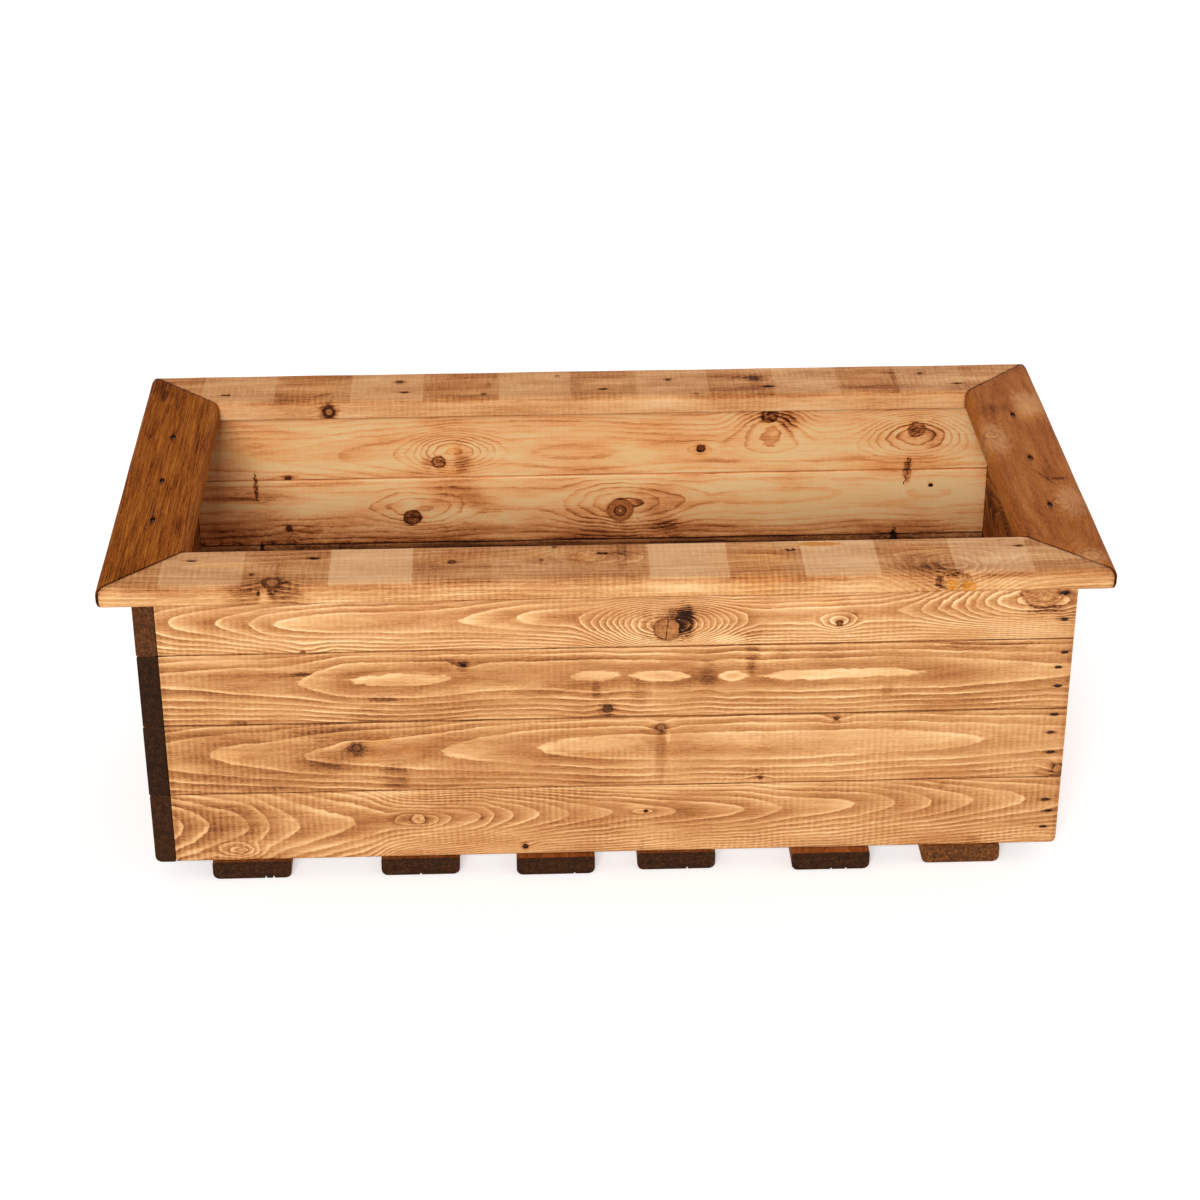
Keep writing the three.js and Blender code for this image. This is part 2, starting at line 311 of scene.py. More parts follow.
def hole(u, v, radius=1.8, tone=-0.42):
    """A small dead knot or pin hole."""
    return knot(u, v, radius, pull=(0.6, 9 * radius, 4 * radius), core=tone, rim=-0.1,
                halo=-0.16, reach=2.8)


def mark(u, v, long, wide, tone, soft=0.5, lean=0.0, deep=None):
    """A patch: its middle, half its length and width in mm, its tone, how soft
    its edge is and how far it leans, in mm across for each mm along. It goes
    right through the board unless `deep` gives its middle's height over the
    board's middle and half its height."""
    return {
        "place": (u, v), "size": (long, wide), "tone": tone, "soft": soft, "lean": lean,
        "deep": deep,
    }


FIGURES = {
    "front_course_4": {
        "rings": [
            (-400, 18.5), (-372, 17), (-333, 16), (-305, 15), (-285, 14), (-235, 13.35),
            (-180, 13.2), (-128, 13), (-84, 12.15), (-50, 11.4), (0, 10.9), (130, 10.4),
            (230, 10.3), (300, 10.8), (405, 11.2),
        ],
        "axis": (-3, -6), "spacing": 2.2, "line": 0.26, "ribs": 0.8, "tone": 0.05,
        "knots": [
            knot(51, -17, 11.5,
                 pull=(-11, 84, 40), core=-0.17, rim=-0.34, crack=84, halo=-0.16, reach=1.7),
            knot(373, 16, 20, pull=(-13, 150, 66), core=-0.06, rim=-0.3,
                 shift=(0, 6), reach=1.3, mottle=0.8),
            knot(-261, -33, 2.4, pull=(-1.6, 34, 16), core=-0.2, rim=-0.15),
            knot(199, -14, 2.9, pull=(-2.5, 24, 13), core=-0.3, rim=-0.3, halo=-0.12, reach=2.6),
        ],
        "marks": [
            mark(67, -11, 7, 15, -0.5, 0.6), mark(60, -2, 12, 5, -0.22, 0.6),
            mark(33, -12, 5, 14, -0.14, 0.7), mark(74, 0, 14, 9, -0.08, 0.7),
            mark(-238, -3, 46, 5.5, 0.14, 0.3), mark(165, 2, 34, 6, 0.1),
            mark(102, -27, 13, 3.5, 0.2, 0.3), mark(208, -8, 7, 4, -0.14, lean=0.5),
            mark(-70, -5, 12, 3.6, 0.12, 0.3), mark(-118, -6, 9, 2, 0.12, 0.3),
            mark(376, -5, 14, 3.5, -0.24), mark(186, -8, 12, 4, 0.1),
            mark(393, 4, 8, 34, -0.1, 0.6), mark(30, 4, 34, 12, -0.04),
            mark(202, 3, 5, 12, -0.08, 0.7), mark(120, -14, 16, 12, -0.07, 0.7),
            mark(-330, -10, 60, 14, -0.03), mark(125, -30, 6, 8, -0.1, 0.7),
            mark(250, -2, 60, 26, -0.03, 0.8), mark(300, -24, 60, 10, 0.06, 0.8),
        ],
        "amber": [(186, 6, 10, 6, 0.3), (95, 4, 30, 8, 0.15)],
    },
    "front_course_3": {
        "rings": [
            (-400, 15.9), (-330, 15.5), (-268, 15), (-245, 14.5), (-222, 14), (-200, 13.9),
            (-180, 13.86), (-158, 13.9), (-136, 14), (-105, 14.35), (-70, 14.35), (-45, 14.2),
            (-30, 14), (-10, 13.9), (8, 13.99), (14, 14.05), (20, 14), (45, 13.86), (72, 14),
            (84, 14.12), (95, 14), (108, 13.84), (120, 13.98), (126, 14.0), (160, 13.88),
            (220, 13.92), (275, 14), (330, 14.4), (405, 14.9),
        ],
        "axis": (9, 4), "spacing": 3.0, "line": 0.22, "ribs": 0.6, "tone": -0.03,
        "knots": [
            knot(0, -26, 4.4, pull=(0.8, 26, 12), core=-0.38, rim=-0.1, halo=-0.18, reach=2.5),
            knot(-124, 20, 1.9, pull=(0.5, 22, 10), core=-0.5, rim=-0.2, halo=-0.2, reach=4.6),
        ],
        "marks": [
            mark(-262, 15, 9, 1.6, -0.18), mark(-197, -12, 12, 3, -0.16),
            mark(28, -10, 8, 10, -0.14, 0.7), mark(-10, -8, 3.5, 9, -0.14),
            mark(125, 27, 6, 11, -0.16, 0.6), mark(124, 12, 3.5, 7, -0.14),
            mark(150, 26, 7, 9, -0.12, 0.7), mark(330, 30, 40, 4.5, -0.14, 0.2),
            mark(-345, 28, 48, 5, 0.14, 0.4), mark(-205, -27, 16, 8, -0.1, 0.6),
            mark(-322, -33, 9, 2.8, -0.16), mark(-155, -16, 40, 12, -0.07, 0.6),
            mark(243, -13, 6, 4, -0.12), mark(358, 14, 14, 5, -0.07),
            mark(330, -18, 70, 10, -0.05, 0.8), mark(110, 4, 14, 8, 0.1, 0.4),
            mark(48, 8, 24, 6, 0.08, 0.4), mark(-178, 10, 42, 5, 0.14, 0.2),
            mark(-8, 9, 20, 4, 0.12, 0.3), mark(200, 3, 74, 5, 0.1, 0.3),
            mark(-300, 14, 90, 2.4, -0.1, 0.5), mark(-345, 0, 40, 10, -0.03),
            mark(-90, 24, 80, 4, -0.05), mark(87, 8, 6, 16, -0.1, 0.7), mark(-132, 20, 9, 3, -0.08),
            mark(-60, -8, 40, 5, -0.07, 0.6, 0.12),
        ],
    },
    "front_course_2": {
        "rings": [
            (-400, 12.8), (-345, 12), (-300, 11.5), (-267, 11), (-200, 10.5), (-146, 10),
            (-100, 9.5), (-60, 9), (-10, 8.5), (60, 8.2), (150, 8.15), (240, 8.4), (300, 8.75),
            (333, 9), (405, 9.6),
        ],
        "axis": (4, 6), "spacing": 4.0, "line": 0.2, "ribs": 1.0, "tone": -0.05,
        "knots": [
            knot(-219, 10, 4.1, pull=(-0.6, 24, 12), core=-0.36, rim=-0.12, halo=-0.2, reach=3.0),
            knot(46.5, 25, 3.9, pull=(0.7, 22, 12), core=-0.26, rim=-0.14, halo=-0.22, reach=2.8),
            hole(200, 30, 2.3, -0.4), hole(134.5, -29, 1.9),
            knot(399, -26, 4.8, pull=(-1.0, 26, 12), core=-0.12, rim=-0.24, halo=-0.26, reach=2.6),
        ],
        "marks": [
            mark(-244, 0, 18, 11, -0.17, 0.7), mark(-186, -20, 12, 14, -0.16, 0.35),
            mark(47, -5, 4.5, 32, -0.12, 0.5), mark(-300, -22, 58, 11, -0.13, 0.7),
            mark(-232, 25, 38, 8, -0.16, 0.7), mark(100, 8, 40, 8, 0.1),
            mark(-10, 8, 46, 7, 0.12, 0.25), mark(-332, 4, 12, 6, 0.1), mark(-75, -8, 70, 8, -0.04),
            mark(-60, -26, 90, 7, -0.04), mark(-116, 6, 26, 5, 0.08), mark(53, 14, 2, 7, 0.14, 0.3),
            mark(38, 22, 9, 3.5, -0.14), mark(386, -30, 9, 5, -0.12), mark(-172, 4, 8, 5, 0.08),
            mark(220, 8, 120, 9, 0.1, 0.3), mark(126, -26, 16, 5, -0.08),
            mark(200, 0, 230, 40, 0.07, 0.6), mark(-350, 28, 60, 5, -0.05),
            mark(-90, 26, 60, 5, 0.06),
        ],
        "amber": [
            (-200, 17, 14, 5, 0.45), (-176, 6, 7, 4, 0.45), (-330, 3, 16, 7, 0.25),
            (-212, 0, 14, 5, 0.3),
        ],
    },
    "front_course_1": {
        "rings": [
            (-400, 4.8), (-376, 6), (-353, 7), (-318, 8), (-299, 9), (-272, 10), (-223, 11),
            (-178, 11.6), (-142, 12), (-113, 13), (-101, 14), (-84, 15), (-61, 16), (-34, 17),
            (4, 18), (61, 19), (122, 20), (155, 21), (220, 22), (256, 23), (289, 24), (325, 25),
            (405, 26.6),
        ],
        "flare": [(-400, 0.34), (-300, 0.36), (-220, 0.5), (-150, 1.0), (405, 0.9)],
        "axis": (0, 14), "spacing": 1.9, "line": 0.2, "ribs": 1.3, "tone": -0.04,
        "knots": [
            knot(-168, 5, 6,
                 pull=(-2, 32, 14), core=0.06, rim=-0.14, halo=-0.1, reach=2.0, mottle=0.6),
            knot(-168, 5, 1.4, pull=(0, 9, 9), core=-0.1, rim=-0.14, halo=0),
            knot(-326, -25, 4, pull=(-2.5, 26, 12), core=0, rim=-0.16, halo=-0.12, mottle=0.6),
            knot(-73.5, -26.5, 2.6,
                 pull=(-1.2, 22, 8), core=-0.5, rim=-0.25, halo=-0.16, reach=2.6),
            knot(34, 8, 1.8, pull=(-0.8, 20, 6), core=-0.5, rim=-0.2, halo=-0.14),
        ],
        "marks": [
            mark(-360, 5, 40, 26, -0.07, 0.7), mark(30, 12, 14, 2.6, 0.14),
            mark(-90, 29, 90, 4, -0.05), mark(-330, 28, 60, 4, 0.1), mark(115, 31, 90, 2.5, 0.14),
            mark(296, 28, 4, 3, -0.12), mark(-184, 5, 8, 6, -0.1), mark(-210, 31, 60, 2.5, 0.14),
            mark(-112, 4, 3, 1.5, -0.15), mark(30, -28, 3, 6, -0.08), mark(327, -30, 7, 3.5, -0.1),
            mark(-330, -8, 26, 30, -0.03, 0.7), mark(185, 12, 34, 5, 0.08),
            mark(140, 13, 14, 4, 0.08), mark(0, -24, 400, 10, 0.04, 0.6),
        ],
    },
    "back_course_4": {
        "rings": [
            (-400, 13.4), (-330, 13), (-260, 12.2), (-212, 11.3), (-170, 10.8), (-110, 10.5),
            (-62, 10), (-18, 9.72), (26, 10), (80, 10.35), (170, 10.5), (235, 10.4), (300, 10.5),
            (405, 10.8),
        ],
        # The high tone and the warm_painted_light tint are painted light against the box's inner
        # shade.
        "axis": (-8, -14), "spacing": 3.4, "line": -0.36, "ribs": 0.4, "tone": 0.34, "wood": "warm_painted_light",
        "blotch": 1.1, "fibre": 2.0,
        "knots": [
            knot(-150, -18, 7, pull=(-6, 62, 34), core=-0.25, rim=-0.3, halo=-0.1,
                 shift=(14, 12), mottle=0.8),
            knot(104, -8.5, 4.4,
                 pull=(-1.0, 26, 14), core=-0.4, rim=-0.25, halo=-0.14, reach=2.2, mottle=0.8),
            knot(170, 25, 8,
                 pull=(-5, 56, 50), core=-0.3, rim=-0.3, halo=-0.16, reach=1.7, mottle=1.3),
            knot(313, 8, 8.5,
                 pull=(-7, 76, 44), core=-0.26, rim=-0.25, halo=-0.18, reach=1.8, mottle=1.3),
            hole(-296, -33, 2.8),
        ],
        "marks": [
            mark(-18, -9, 40, 6, 0.08, 0.2), mark(-161, -16, 5, 10, -0.26),
            mark(-127, -14, 8, 18, -0.34, 0.7), mark(-146, -6, 8, 6, -0.14, 0.6),
            mark(188, 20, 8, 13, -0.34, 0.7), mark(330, 2, 9, 14, -0.32, 0.7),
            mark(146, 22, 9, 12, -0.2, 0.7), mark(112, -19, 12, 2.5, -0.11),
            # mark(-345, 4, ...) is painted shade at the left end, where the box's inside lies in
            # shadow.
            mark(-325, 3, 9, 3, -0.1), mark(-345, 4, 16, 30, -0.08, 0.8),
            mark(-296, -31, 9, 2, -0.2), mark(158, 26, 12, 8, -0.14),
            mark(0, -29, 400, 2, -0.05, 0.6), mark(270, -22, 80, 3, -0.07),
            mark(-250, 22, 90, 6, 0.08, 0.6), mark(-170, -30, 10, 10, -0.1, 0.7),
            mark(318, 24, 30, 4, -0.08, 0.6),
        ],
        "amber": [
            (-133, -4, 11, 7, 0.5), (-137, -28, 14, 7, 0.35), (105, -12, 11, 9, 0.4),
            (168, 14, 9, 5, 0.5), (303, 14, 9, 8, 0.45), (-320, 0, 50, 24, 0.25),
            (40, -6, 60, 24, 0.2), (300, -28, 80, 8, 0.3),
        ],
    },
    "back_course_3": {
        "rings": [
            (-400, 6.7), (-345, 6.75), (-312, 7), (-260, 7.3), (-200, 7.4), (-150, 7.3),
            (-100, 7.5), (-40, 7.6), (20, 7.3), (70, 7), (96, 7.05), (110, 6.95), (170, 6.65),
            (225, 6.8), (245, 7), (290, 7.2), (305, 7), (330, 6.8), (355, 7), (405, 7.3),
        ],
        # The high tone and the warm_painted_light tint are painted light against the box's inner
        # shade.
        "axis": (7, 12), "spacing": 4.6, "line": -0.38, "ribs": 0.3, "tone": 0.34, "wood": "warm_painted_light",
        "blotch": 1.15, "fibre": 2.0,
        "knots": [
            knot(-177, -7, 9, pull=(-2.6, 62, 32), core=-0.36, rim=-0.3, halo=-0.12, reach=1.8,
                 crack=0, shift=(8, 8), mottle=0.7),
            knot(26, -3, 13, pull=(-3.6, 90, 44), core=-0.16, rim=-0.35, halo=-0.14, reach=1.5,
                 shift=(6, 3)),
            knot(26, -4, 6, pull=(0, 9, 9), core=-0.24, rim=-0.3, halo=0),
            knot(26, -4, 2.6, pull=(0, 9, 9), core=0, rim=-0.3, halo=0), hole(-298, -17, 3.2),
            hole(330, 18, 2.4),
        ],
        "marks": [
            mark(-177, 4, 7, 8, 0.16, 0.25), mark(-120, 13, 22, 13, -0.3, 0.7, -0.4),
            mark(180, 8, 190, 22, 0.1, 0.5), mark(70, 12, 24, 10, -0.2, 0.8, -0.2),
            mark(62, -10, 18, 14, -0.26, 0.8, -0.6), mark(-280, -20, 14, 6, -0.16),
            # mark(0, -29, ...), mark(0, -35.5, ...) and mark(-360, -18, ...) are painted shade
            # along the lower part and at the left end, where the box's inside lies in shadow.
            mark(0, -29, 420, 11, -0.26, 0.8), mark(0, -35.5, 420, 4, -0.22, 0.6),
            mark(-360, -18, 84, 16, -0.28, 0.7), mark(-352, 17, 52, 5, -0.3, 0.6),
            mark(-350, 6, 38, 6, 0.14, 0.3), mark(-330, 29, 90, 1.2, -0.2, 0.4),
            mark(-240, -20, 90, 12, -0.14, 0.8), mark(-185, 8, 22, 7, 0.12, 0.3),
            mark(-150, 8, 8, 16, -0.11, 0.7, -0.5), mark(60, -24, 40, 9, -0.2, 0.7),
            mark(0, -4, 16, 20, -0.1, 0.8), mark(-95, -18, 60, 8, -0.07),
        ],
        "amber": [(-285, -20, 10, 5, 0.3), (200, 4, 100, 12, 0.2)],
    },
    "back_course_2": {
        "rings": [(-400, 9), (-100, 8), (150, 7.4), (405, 8.3)],
        "axis": (4, -8), "spacing": 3.8, "line": -0.2, "ribs": 0.2, "tone": 0.1,
        "knots": [knot(-220, 10, 6, pull=(-4, 60, 30)), knot(140, -14, 7, pull=(-4, 60, 34))],
        "marks": [
            # The deep mark darkens the inner face: partly damp wood, partly painted shade, as this
            # board lies low in the box's shadow.
            mark(0, 20, 420, 40, -0.42, 0.5, deep=(-9, 7)), mark(-100, 20, 90, 8, -0.12, 0.7),
        ],
    },
    "rim_front": {
        "rings": [
            (-430, 10.6), (-356, 10), (-250, 9.3), (-147, 9), (-60, 8.6), (0, 8.3), (90, 8.6),
            (160, 9), (270, 9.2), (430, 10.2),
        ],
        # The side tone and the top tint below are painted light: paler side faces, a rosier top.
        "axis": (0, 6), "spacing": 3.6, "line": 0.1, "ribs": 1.1, "tone": -0.04, "side_tone": 0.1,
        "shine": 0.05, "rosy_top": True, "fibre": 1.7, "blotch": 0.65, "scratched": 0.3,
        "knots": [
            knot(-280, -26, 8, pull=(1.5, 34, 18), core=-0.34, rim=-0.1, halo=-0.24, reach=1.6,
                 deep=(8, 14)),
            knot(-280, -26, 5.2, pull=(0, 9, 9), core=-0.16, rim=-0.12, halo=0, deep=(8, 12)),
            knot(-16, 10, 11,
                 pull=(-3, 60, 30), core=0.04, rim=-0.14, halo=-0.05, reach=1.6, mottle=0.8),
            knot(290, -35, 13, pull=(-7, 74, 56), core=-0.2, rim=-0.12, halo=-0.1, reach=1.5,
                 mottle=1.2, deep=(2, 9)),
            hole(-298, -12, 1.6), knot(-131, 4, 2.9, core=-0.35, halo=-0.14),
            hole(-56, 5, 1.2, -0.3), hole(-44, 28, 1.8, -0.3), hole(-268, -26, 1.3),
        ],
        "marks": [
            mark(12, 10, 6, 20, -0.16, 0.7, 0.6), mark(260, -16, 15, 18, -0.15, 0.8),
            mark(272, -22, 9, 9, -0.1, 0.8), mark(306, -18, 16, 8, -0.08, 0.8),
            mark(318, -12, 18, 6, 0.1, 0.6, 0.4), mark(-276, -6, 4, 16, -0.11, 0.7),
            mark(-320, 5, 30, 5, 0.1, 0.3), mark(276, -35, 3.5, 9, -0.27, 0.5, deep=(0, 7)),
            mark(297, -35, 3.5, 9, -0.2, 0.5, deep=(3, 4)),
            mark(297, -33, 14, 5, 0.16, 0.4, deep=(8, 2.4)),
            mark(-291, -35, 1.6, 6, -0.3, 0.5, deep=(3, 2.6)),
            mark(-268, -35, 13, 6, -0.22, 0.8, deep=(2, 9)),
            mark(-303, -35, 14, 6, -0.2, 0.8, deep=(1, 9)),
            mark(-287, -35, 4, 6, 0.12, 0.4, deep=(-1, 7)),
            mark(0, -35.5, 440, 5, -0.2, 0.4, deep=(-9, 1.4)),
            mark(325, -35, 12, 6, -0.11, 0.7, deep=(6, 4)),
            mark(-360, -35, 30, 6, -0.07, 0.7, deep=(3, 3)), mark(200, 0, 230, 34, 0.04, 0.4),
            mark(125, -4, 30, 32, 0.05, 0.4), mark(15, 0, 18, 34, -0.04),
            mark(-262, 0, 34, 34, -0.02), mark(290, -36, 60, 6, -0.07, 0.7, deep=(8, 3)),
        ],
        "stickers": [(-376, -308), (-235, -166), (-99, -36), (33, 100), (162, 226), (289, 355)],
        "sticker_tone": [0.75, 1.3, 0.2, 1.1, 1.1, 0.9],
        "amber": [
            (-322, 5, 34, 6, 0.45), (-90, 14, 70, 7, 0.4), (-22, 6, 10, 11, 0.6),
            (140, 4, 24, 9, 0.35), (262, 12, 34, 8, 0.45), (283, 0, 11, 6, 0.5),
            (-255, 12, 24, 5, 0.35), (10, 10, 30, 26, 0.25), (-130, 6, 24, 7, 0.4),
            (125, -5, 34, 34, 0.6), (255, -10, 40, 30, 0.2),
        ],
        "chips": [(287, -35, 5, 8, -1, 6), (302, -35, 6, 8, -4, 7)],
        "resin": (181, 24.5, 21, 4),
    },
    "rim_back": {
        "rings": [
            (-430, 9.4), (-350, 8.6), (-200, 7.9), (-90, 7.2), (0, 7.0), (140, 7.4), (300, 8.2),
            (430, 9),
        ],
        "axis": (-4, 4), "spacing": 3.6, "line": -0.1, "ribs": 0.9, "tone": -0.02,
        # Painted light: the side faces, the inner edge among them, are drawn paler than the top.
        "side_tone": 0.26, "shine": 0.05, "wood": "rosy", "fibre": 1.8, "blotch": 0.8,
        "scratched": 0.34,
        "knots": [
            knot(-252, -35, 6, pull=(1.0, 30, 16), core=-0.66, rim=-0.2, halo=-0.4, reach=2.0,
                 deep=(-1.5, 6)),
            knot(-252, -35, 3.2, pull=(0, 9, 9), core=-0.4, rim=-0.1, halo=0, deep=(-1.5, 3.2)),
            knot(157, 4, 4.6, pull=(-2.5, 34, 24), core=-0.4, rim=-0.1, halo=-0.26, reach=3.0),
            knot(-186, 10, 3.4, core=-0.38, rim=-0.1, halo=-0.26, reach=2.8),
            hole(73, 4.5, 2.6, -0.38), hole(318, 10, 2.8, -0.38), hole(-34, 18, 1.7, -0.3),
            hole(-105, -22, 2.1, -0.3),
        ],
        "marks": [
            mark(-257, -18, 11, 2.4, -0.16, 0.5, 0.5), mark(-130, -25, 40, 3, -0.11),
            mark(250, -20, 18, 3.5, -0.11), mark(157, -14, 12, 12, -0.14, 0.8),
            mark(-350, -18, 30, 10, -0.03), mark(291, 6, 2.6, 14, -0.16, 0.6),
            mark(285, 12, 9, 2, -0.14), mark(60, 5, 12, 1.6, -0.11), mark(142, 6, 14, 2.4, -0.16),
            mark(-100, 1, 2.8, 6, -0.14), mark(98, -30, 3, 4, -0.14), mark(350, -24, 10, 6, -0.12),
            mark(-178, -6, 10, 1.6, -0.11), mark(176, -10, 5, 10, -0.07),
            mark(-20, 0, 8, 24, -0.05, 0.8), mark(340, 0, 10, 10, -0.04),
            mark(-330, -24, 40, 3, -0.04, 0.5, -0.2),
        ],
        "stickers": [(-374, -305), (-232, -163), (-93, -23), (41, 108), (171, 236), (291, 355)],
        "sticker_tone": [0.7, 0.7, 0.7, 0.6, 0.55, 0.55],
        "amber": [
            (0, 0, 420, 40, 0.16), (-270, 0, 30, 34, 0.25), (-128, 0, 30, 34, 0.25),
            (264, 0, 26, 34, 0.3),
        ],
    },
    "rim_left": {
        "rings": [(-225, 22), (-90, 21.4), (20, 21), (225, 20.2)],
        "axis": (-46, -58), "spacing": 4.0, "line": 0.06, "ribs": 0.1, "tone": -0.14,
        "knots": [],
        "wood": "ochre", "fibre": 3.4, "shine": 0.03,
        "marks": [
            mark(172, -17, 12, 2.4, -0.2), mark(65, -11, 14, 2, 0.14),
            mark(190, -17, 22, 20, -0.1, 0.8), mark(-190, 0, 22, 34, -0.1, 0.8),
            mark(80, 18, 30, 3, 0.12), mark(30, 25, 60, 2, -0.07), mark(160, -11, 8, 4, 0.1),
            mark(95, 20, 50, 2, -0.08),
        ],
        "amber": [(65, -11, 14, 2.5, 0.5), (158, -11, 10, 4, 0.5)],
    },
    "rim_right": {
        "rings": [
            (-225, 9), (-150, 8.2), (-100, 7.4), (-30, 6.9), (30, 7.3), (100, 7.6), (160, 8.4),
            (225, 9.2),
        ],
        "axis": (-8, 6), "spacing": 4.4, "line": -0.1, "ribs": 0.1, "tone": -0.1, "wild": 1.2,
        "shine": 0.04,
        "knots": [
            knot(52, -27, 8,
                 pull=(-3, 50, 26), core=0.05, rim=-0.24, halo=-0.04, reach=1.7, mottle=1.0),
            knot(-193, 17, 9, pull=(1.5, 40, 24), core=0.05, rim=-0.22, halo=-0.02, mottle=0.8),
            knot(-88, 11, 8,
                 pull=(-2.4, 44, 24), core=0.02, rim=-0.2, halo=0.02, reach=1.8, mottle=1.0),
        ],
        "wood": "orange",
        "marks": [
            mark(120, 18, 24, 13, 0.14, 0.7), mark(100, 12, 18, 11, 0.12, 0.7),
            mark(45, -26, 34, 13, 0.12, 0.7), mark(-88, 20, 30, 12, 0.12, 0.7),
            mark(-42, 18, 3, 7, -0.2), mark(-36, 4, 12, 2, -0.16, 0.6, -0.5),
            mark(-150, 0, 24, 12, -0.05), mark(110, -10, 10, 16, -0.1, 0.7),
            mark(-120, -30, 50, 5, -0.11), mark(-195, 20, 16, 12, 0.1, 0.7),
            mark(-100, -10, 40, 3, -0.07), mark(10, 10, 60, 4, -0.05),
        ],
        "washed": [
            (122, 18, 26, 14, 0.22), (45, -26, 34, 13, 0.2), (-88, 20, 30, 12, 0.2),
            (-195, 18, 14, 12, 0.2),
        ],
    },
}


def plain_figure(seed, half_length, **more):
    """The figure of a board that the reference doesn't show: rings whose slope,
    middle and knots swing with sines of the seed."""
    swing = np.sin(seed * np.array([1.7, 2.9, 4.3, 5.1, 6.7, 7.9]))
    places = np.linspace(-1, 1, 7)
    rings = 11 + 4 * places * np.sign(swing[0]) + 0.9 * np.sin(3 * places + 5 * swing[1])
    figure = {
        "rings": [(half_length * place, ring) for place, ring in zip(places, rings)],
        "axis": (14 * swing[2], 14 * swing[3]), "spacing": 3.0 + 0.8 * swing[4],
        "line": 0.2, "ribs": 0.8, "tone": 0.03 * swing[5],
        "knots": [
            knot(half_length * 0.55 * swing[4], 22 * swing[1], 5 + 2 * swing[2], pull=(-5, 60, 28)),
            hole(half_length * 0.8 * swing[5], 24 * swing[0]),
        ],
        "marks": [
            mark(half_length * 0.4 * swing[3], 12 * swing[5], 40, 8, 0.08, 0.3),
            mark(half_length * 0.7 * swing[1], 18 * swing[4], 26, 9, -0.12, 0.7),
        ],
    }
    return {**figure, **more}


# ---- The wood's finish ----


class Board:
    """Where a board lies: the axes along, across and through it, in mm."""

    def __init__(self, node, along, across):
        low, high = (np.array(corner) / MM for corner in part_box(node))
        self.along, self.across = along, across
        self.through = 3 - along - across
        self.origin = (low + high) / 2
        self.middle = self.origin[along]
        self.origin[along] = 0
        self.half_length, self.half_width, self.half_thickness = (
            (high - low)[axis] / 2 for axis in (along, across, self.through))

    def stretch(self, along, across):
        """Factors that turn mm into noise units, slower along the grain."""
        factors = np.full(3, 1 / across)
        factors[self.along] = 1 / along
        return tuple(factors)


# The wood's tones from the darkest to the palest, and how a stain or painted light tints them.
TONES = (
    (0.0, "pitch"), (0.16, "knot"), (0.34, "brown"), (0.54, "tan"), (0.74, "honey"), (1.0, "cream"),
)
STAIN_AND_LIGHT_TINTS = {
    "oak": (1, 1, 1), "ochre": (0.68, 0.42, 0.12), "orange": (0.84, 0.57, 0.28),
    # warm_painted_light is painted light: it brightens and warms the back wall's boards, whose
    # inner faces lie in shade inside the box.
    "russet": (0.78, 0.6, 0.34), "warm_painted_light": (1.17, 0.975, 0.85), "rosy": (1.03, 0.92, 0.87),
    # dark: partly the base slats' dark wood, partly painted shade, as they lie in shadow under the
    # box.
    "dark": (0.5, 0.32, 0.18),
}
# What is left of the light where the stain is thin, and a painted tint that makes the upper face
# rosier, for how the light falls on it.
THIN_STAIN = (1.0, 0.97, 0.95, 1)
TOP_LIGHT_TINT = (1.0, 0.91, 0.88, 1)

# Noises: the mm of their patches along and across the grain, their detail and
# roughness, and a shift that keeps them apart.
NOISES = {
    "blotch": (80, 16, 3, 0.5, 4.4),
    "fibre": (42, 0.9, 3, 0.65, 6.6),
    "fine": (11, 0.9, 2, 0.6, 2.7),
    "speck": (3.4, 1.2, 2, 0.7, 8.8),
    "ragged": (9, 4, 3, 0.6, 1.3),
    "drift": (120, 60, 2, 0.5, 3.1),
    "sway": (34, 15, 2, 0.5, 9.4),
    "fading": (70, 15, 2, 0.5, 7.9),
    "rib_fading": (60, 26, 2, 0.5, 5.9),
    "scratches": (1.3, 26, 2, 0.6, 1.9),
}

# How the rings wander: the mm by which the drift noise moves the pith's line
# and the ragged noise the rings' steep flanks, and the rings by which the
# drift, the ragged and the fine noise move the count.
PITH_DRIFT, STEEP_RAGGED = 12, 1.5
COUNT_DRIFT, COUNT_RAGGED, COUNT_FINE = 0.15, 0.1, 0.1
# The same two in rings for each unit of a figure's `wild`.
WILD_DRIFT, WILD_RAGGED = 2, 0.5
# How much the sway bends the reach of a knot: at most, and for one ring of
# pull. A knot that pulls as many rings as the last brings out all its lines.
SWAY, SWAY_RINGS, FULL_PULL = 0.45, 1.4, 4

# Pale and dark lines of late wood: how wide they are in rings, and in mm on
# steep flanks; how far they show everywhere, and near knots; and over which
# part of a ring the early wood rises, from which tone to which.
PALE_LINES = {"wide": 0.07, "steep": 0.9, "shown": 1.0, "near": 0.5, "rise": (0.0, 1.0, -0.6, 0.45)}
DARK_LINES = {"wide": 0.1, "steep": 1.3, "shown": 0.45, "near": 0.85, "rise": (0.3, 1.0, -0.1, 0.3)}
LINE_EDGE, LINE_TAIL = (0.0, 0.25), (2.0, 0.6)

# How much of each noise and of the ribs goes into the tone, and into the bump.
BLOTCH_TONE, FIBRE_TONE, FINE_TONE, SPECK_TONE, RIB_TONE = 0.45, 0.32, 0.26, 0.3, 0.04
MOST_FINE_STREAKS = 1.4
FIBRE_BUMP, RIB_BUMP, SPECK_BUMP = 0.5, 0.16, 0.3
BUMP = {"Strength": 0.35, "Distance": 0.0006}
# From which tone to which the stain's roughness falls, and from what to what.
ROUGHNESS = (0.1, 0.9, 0.75, 0.55)

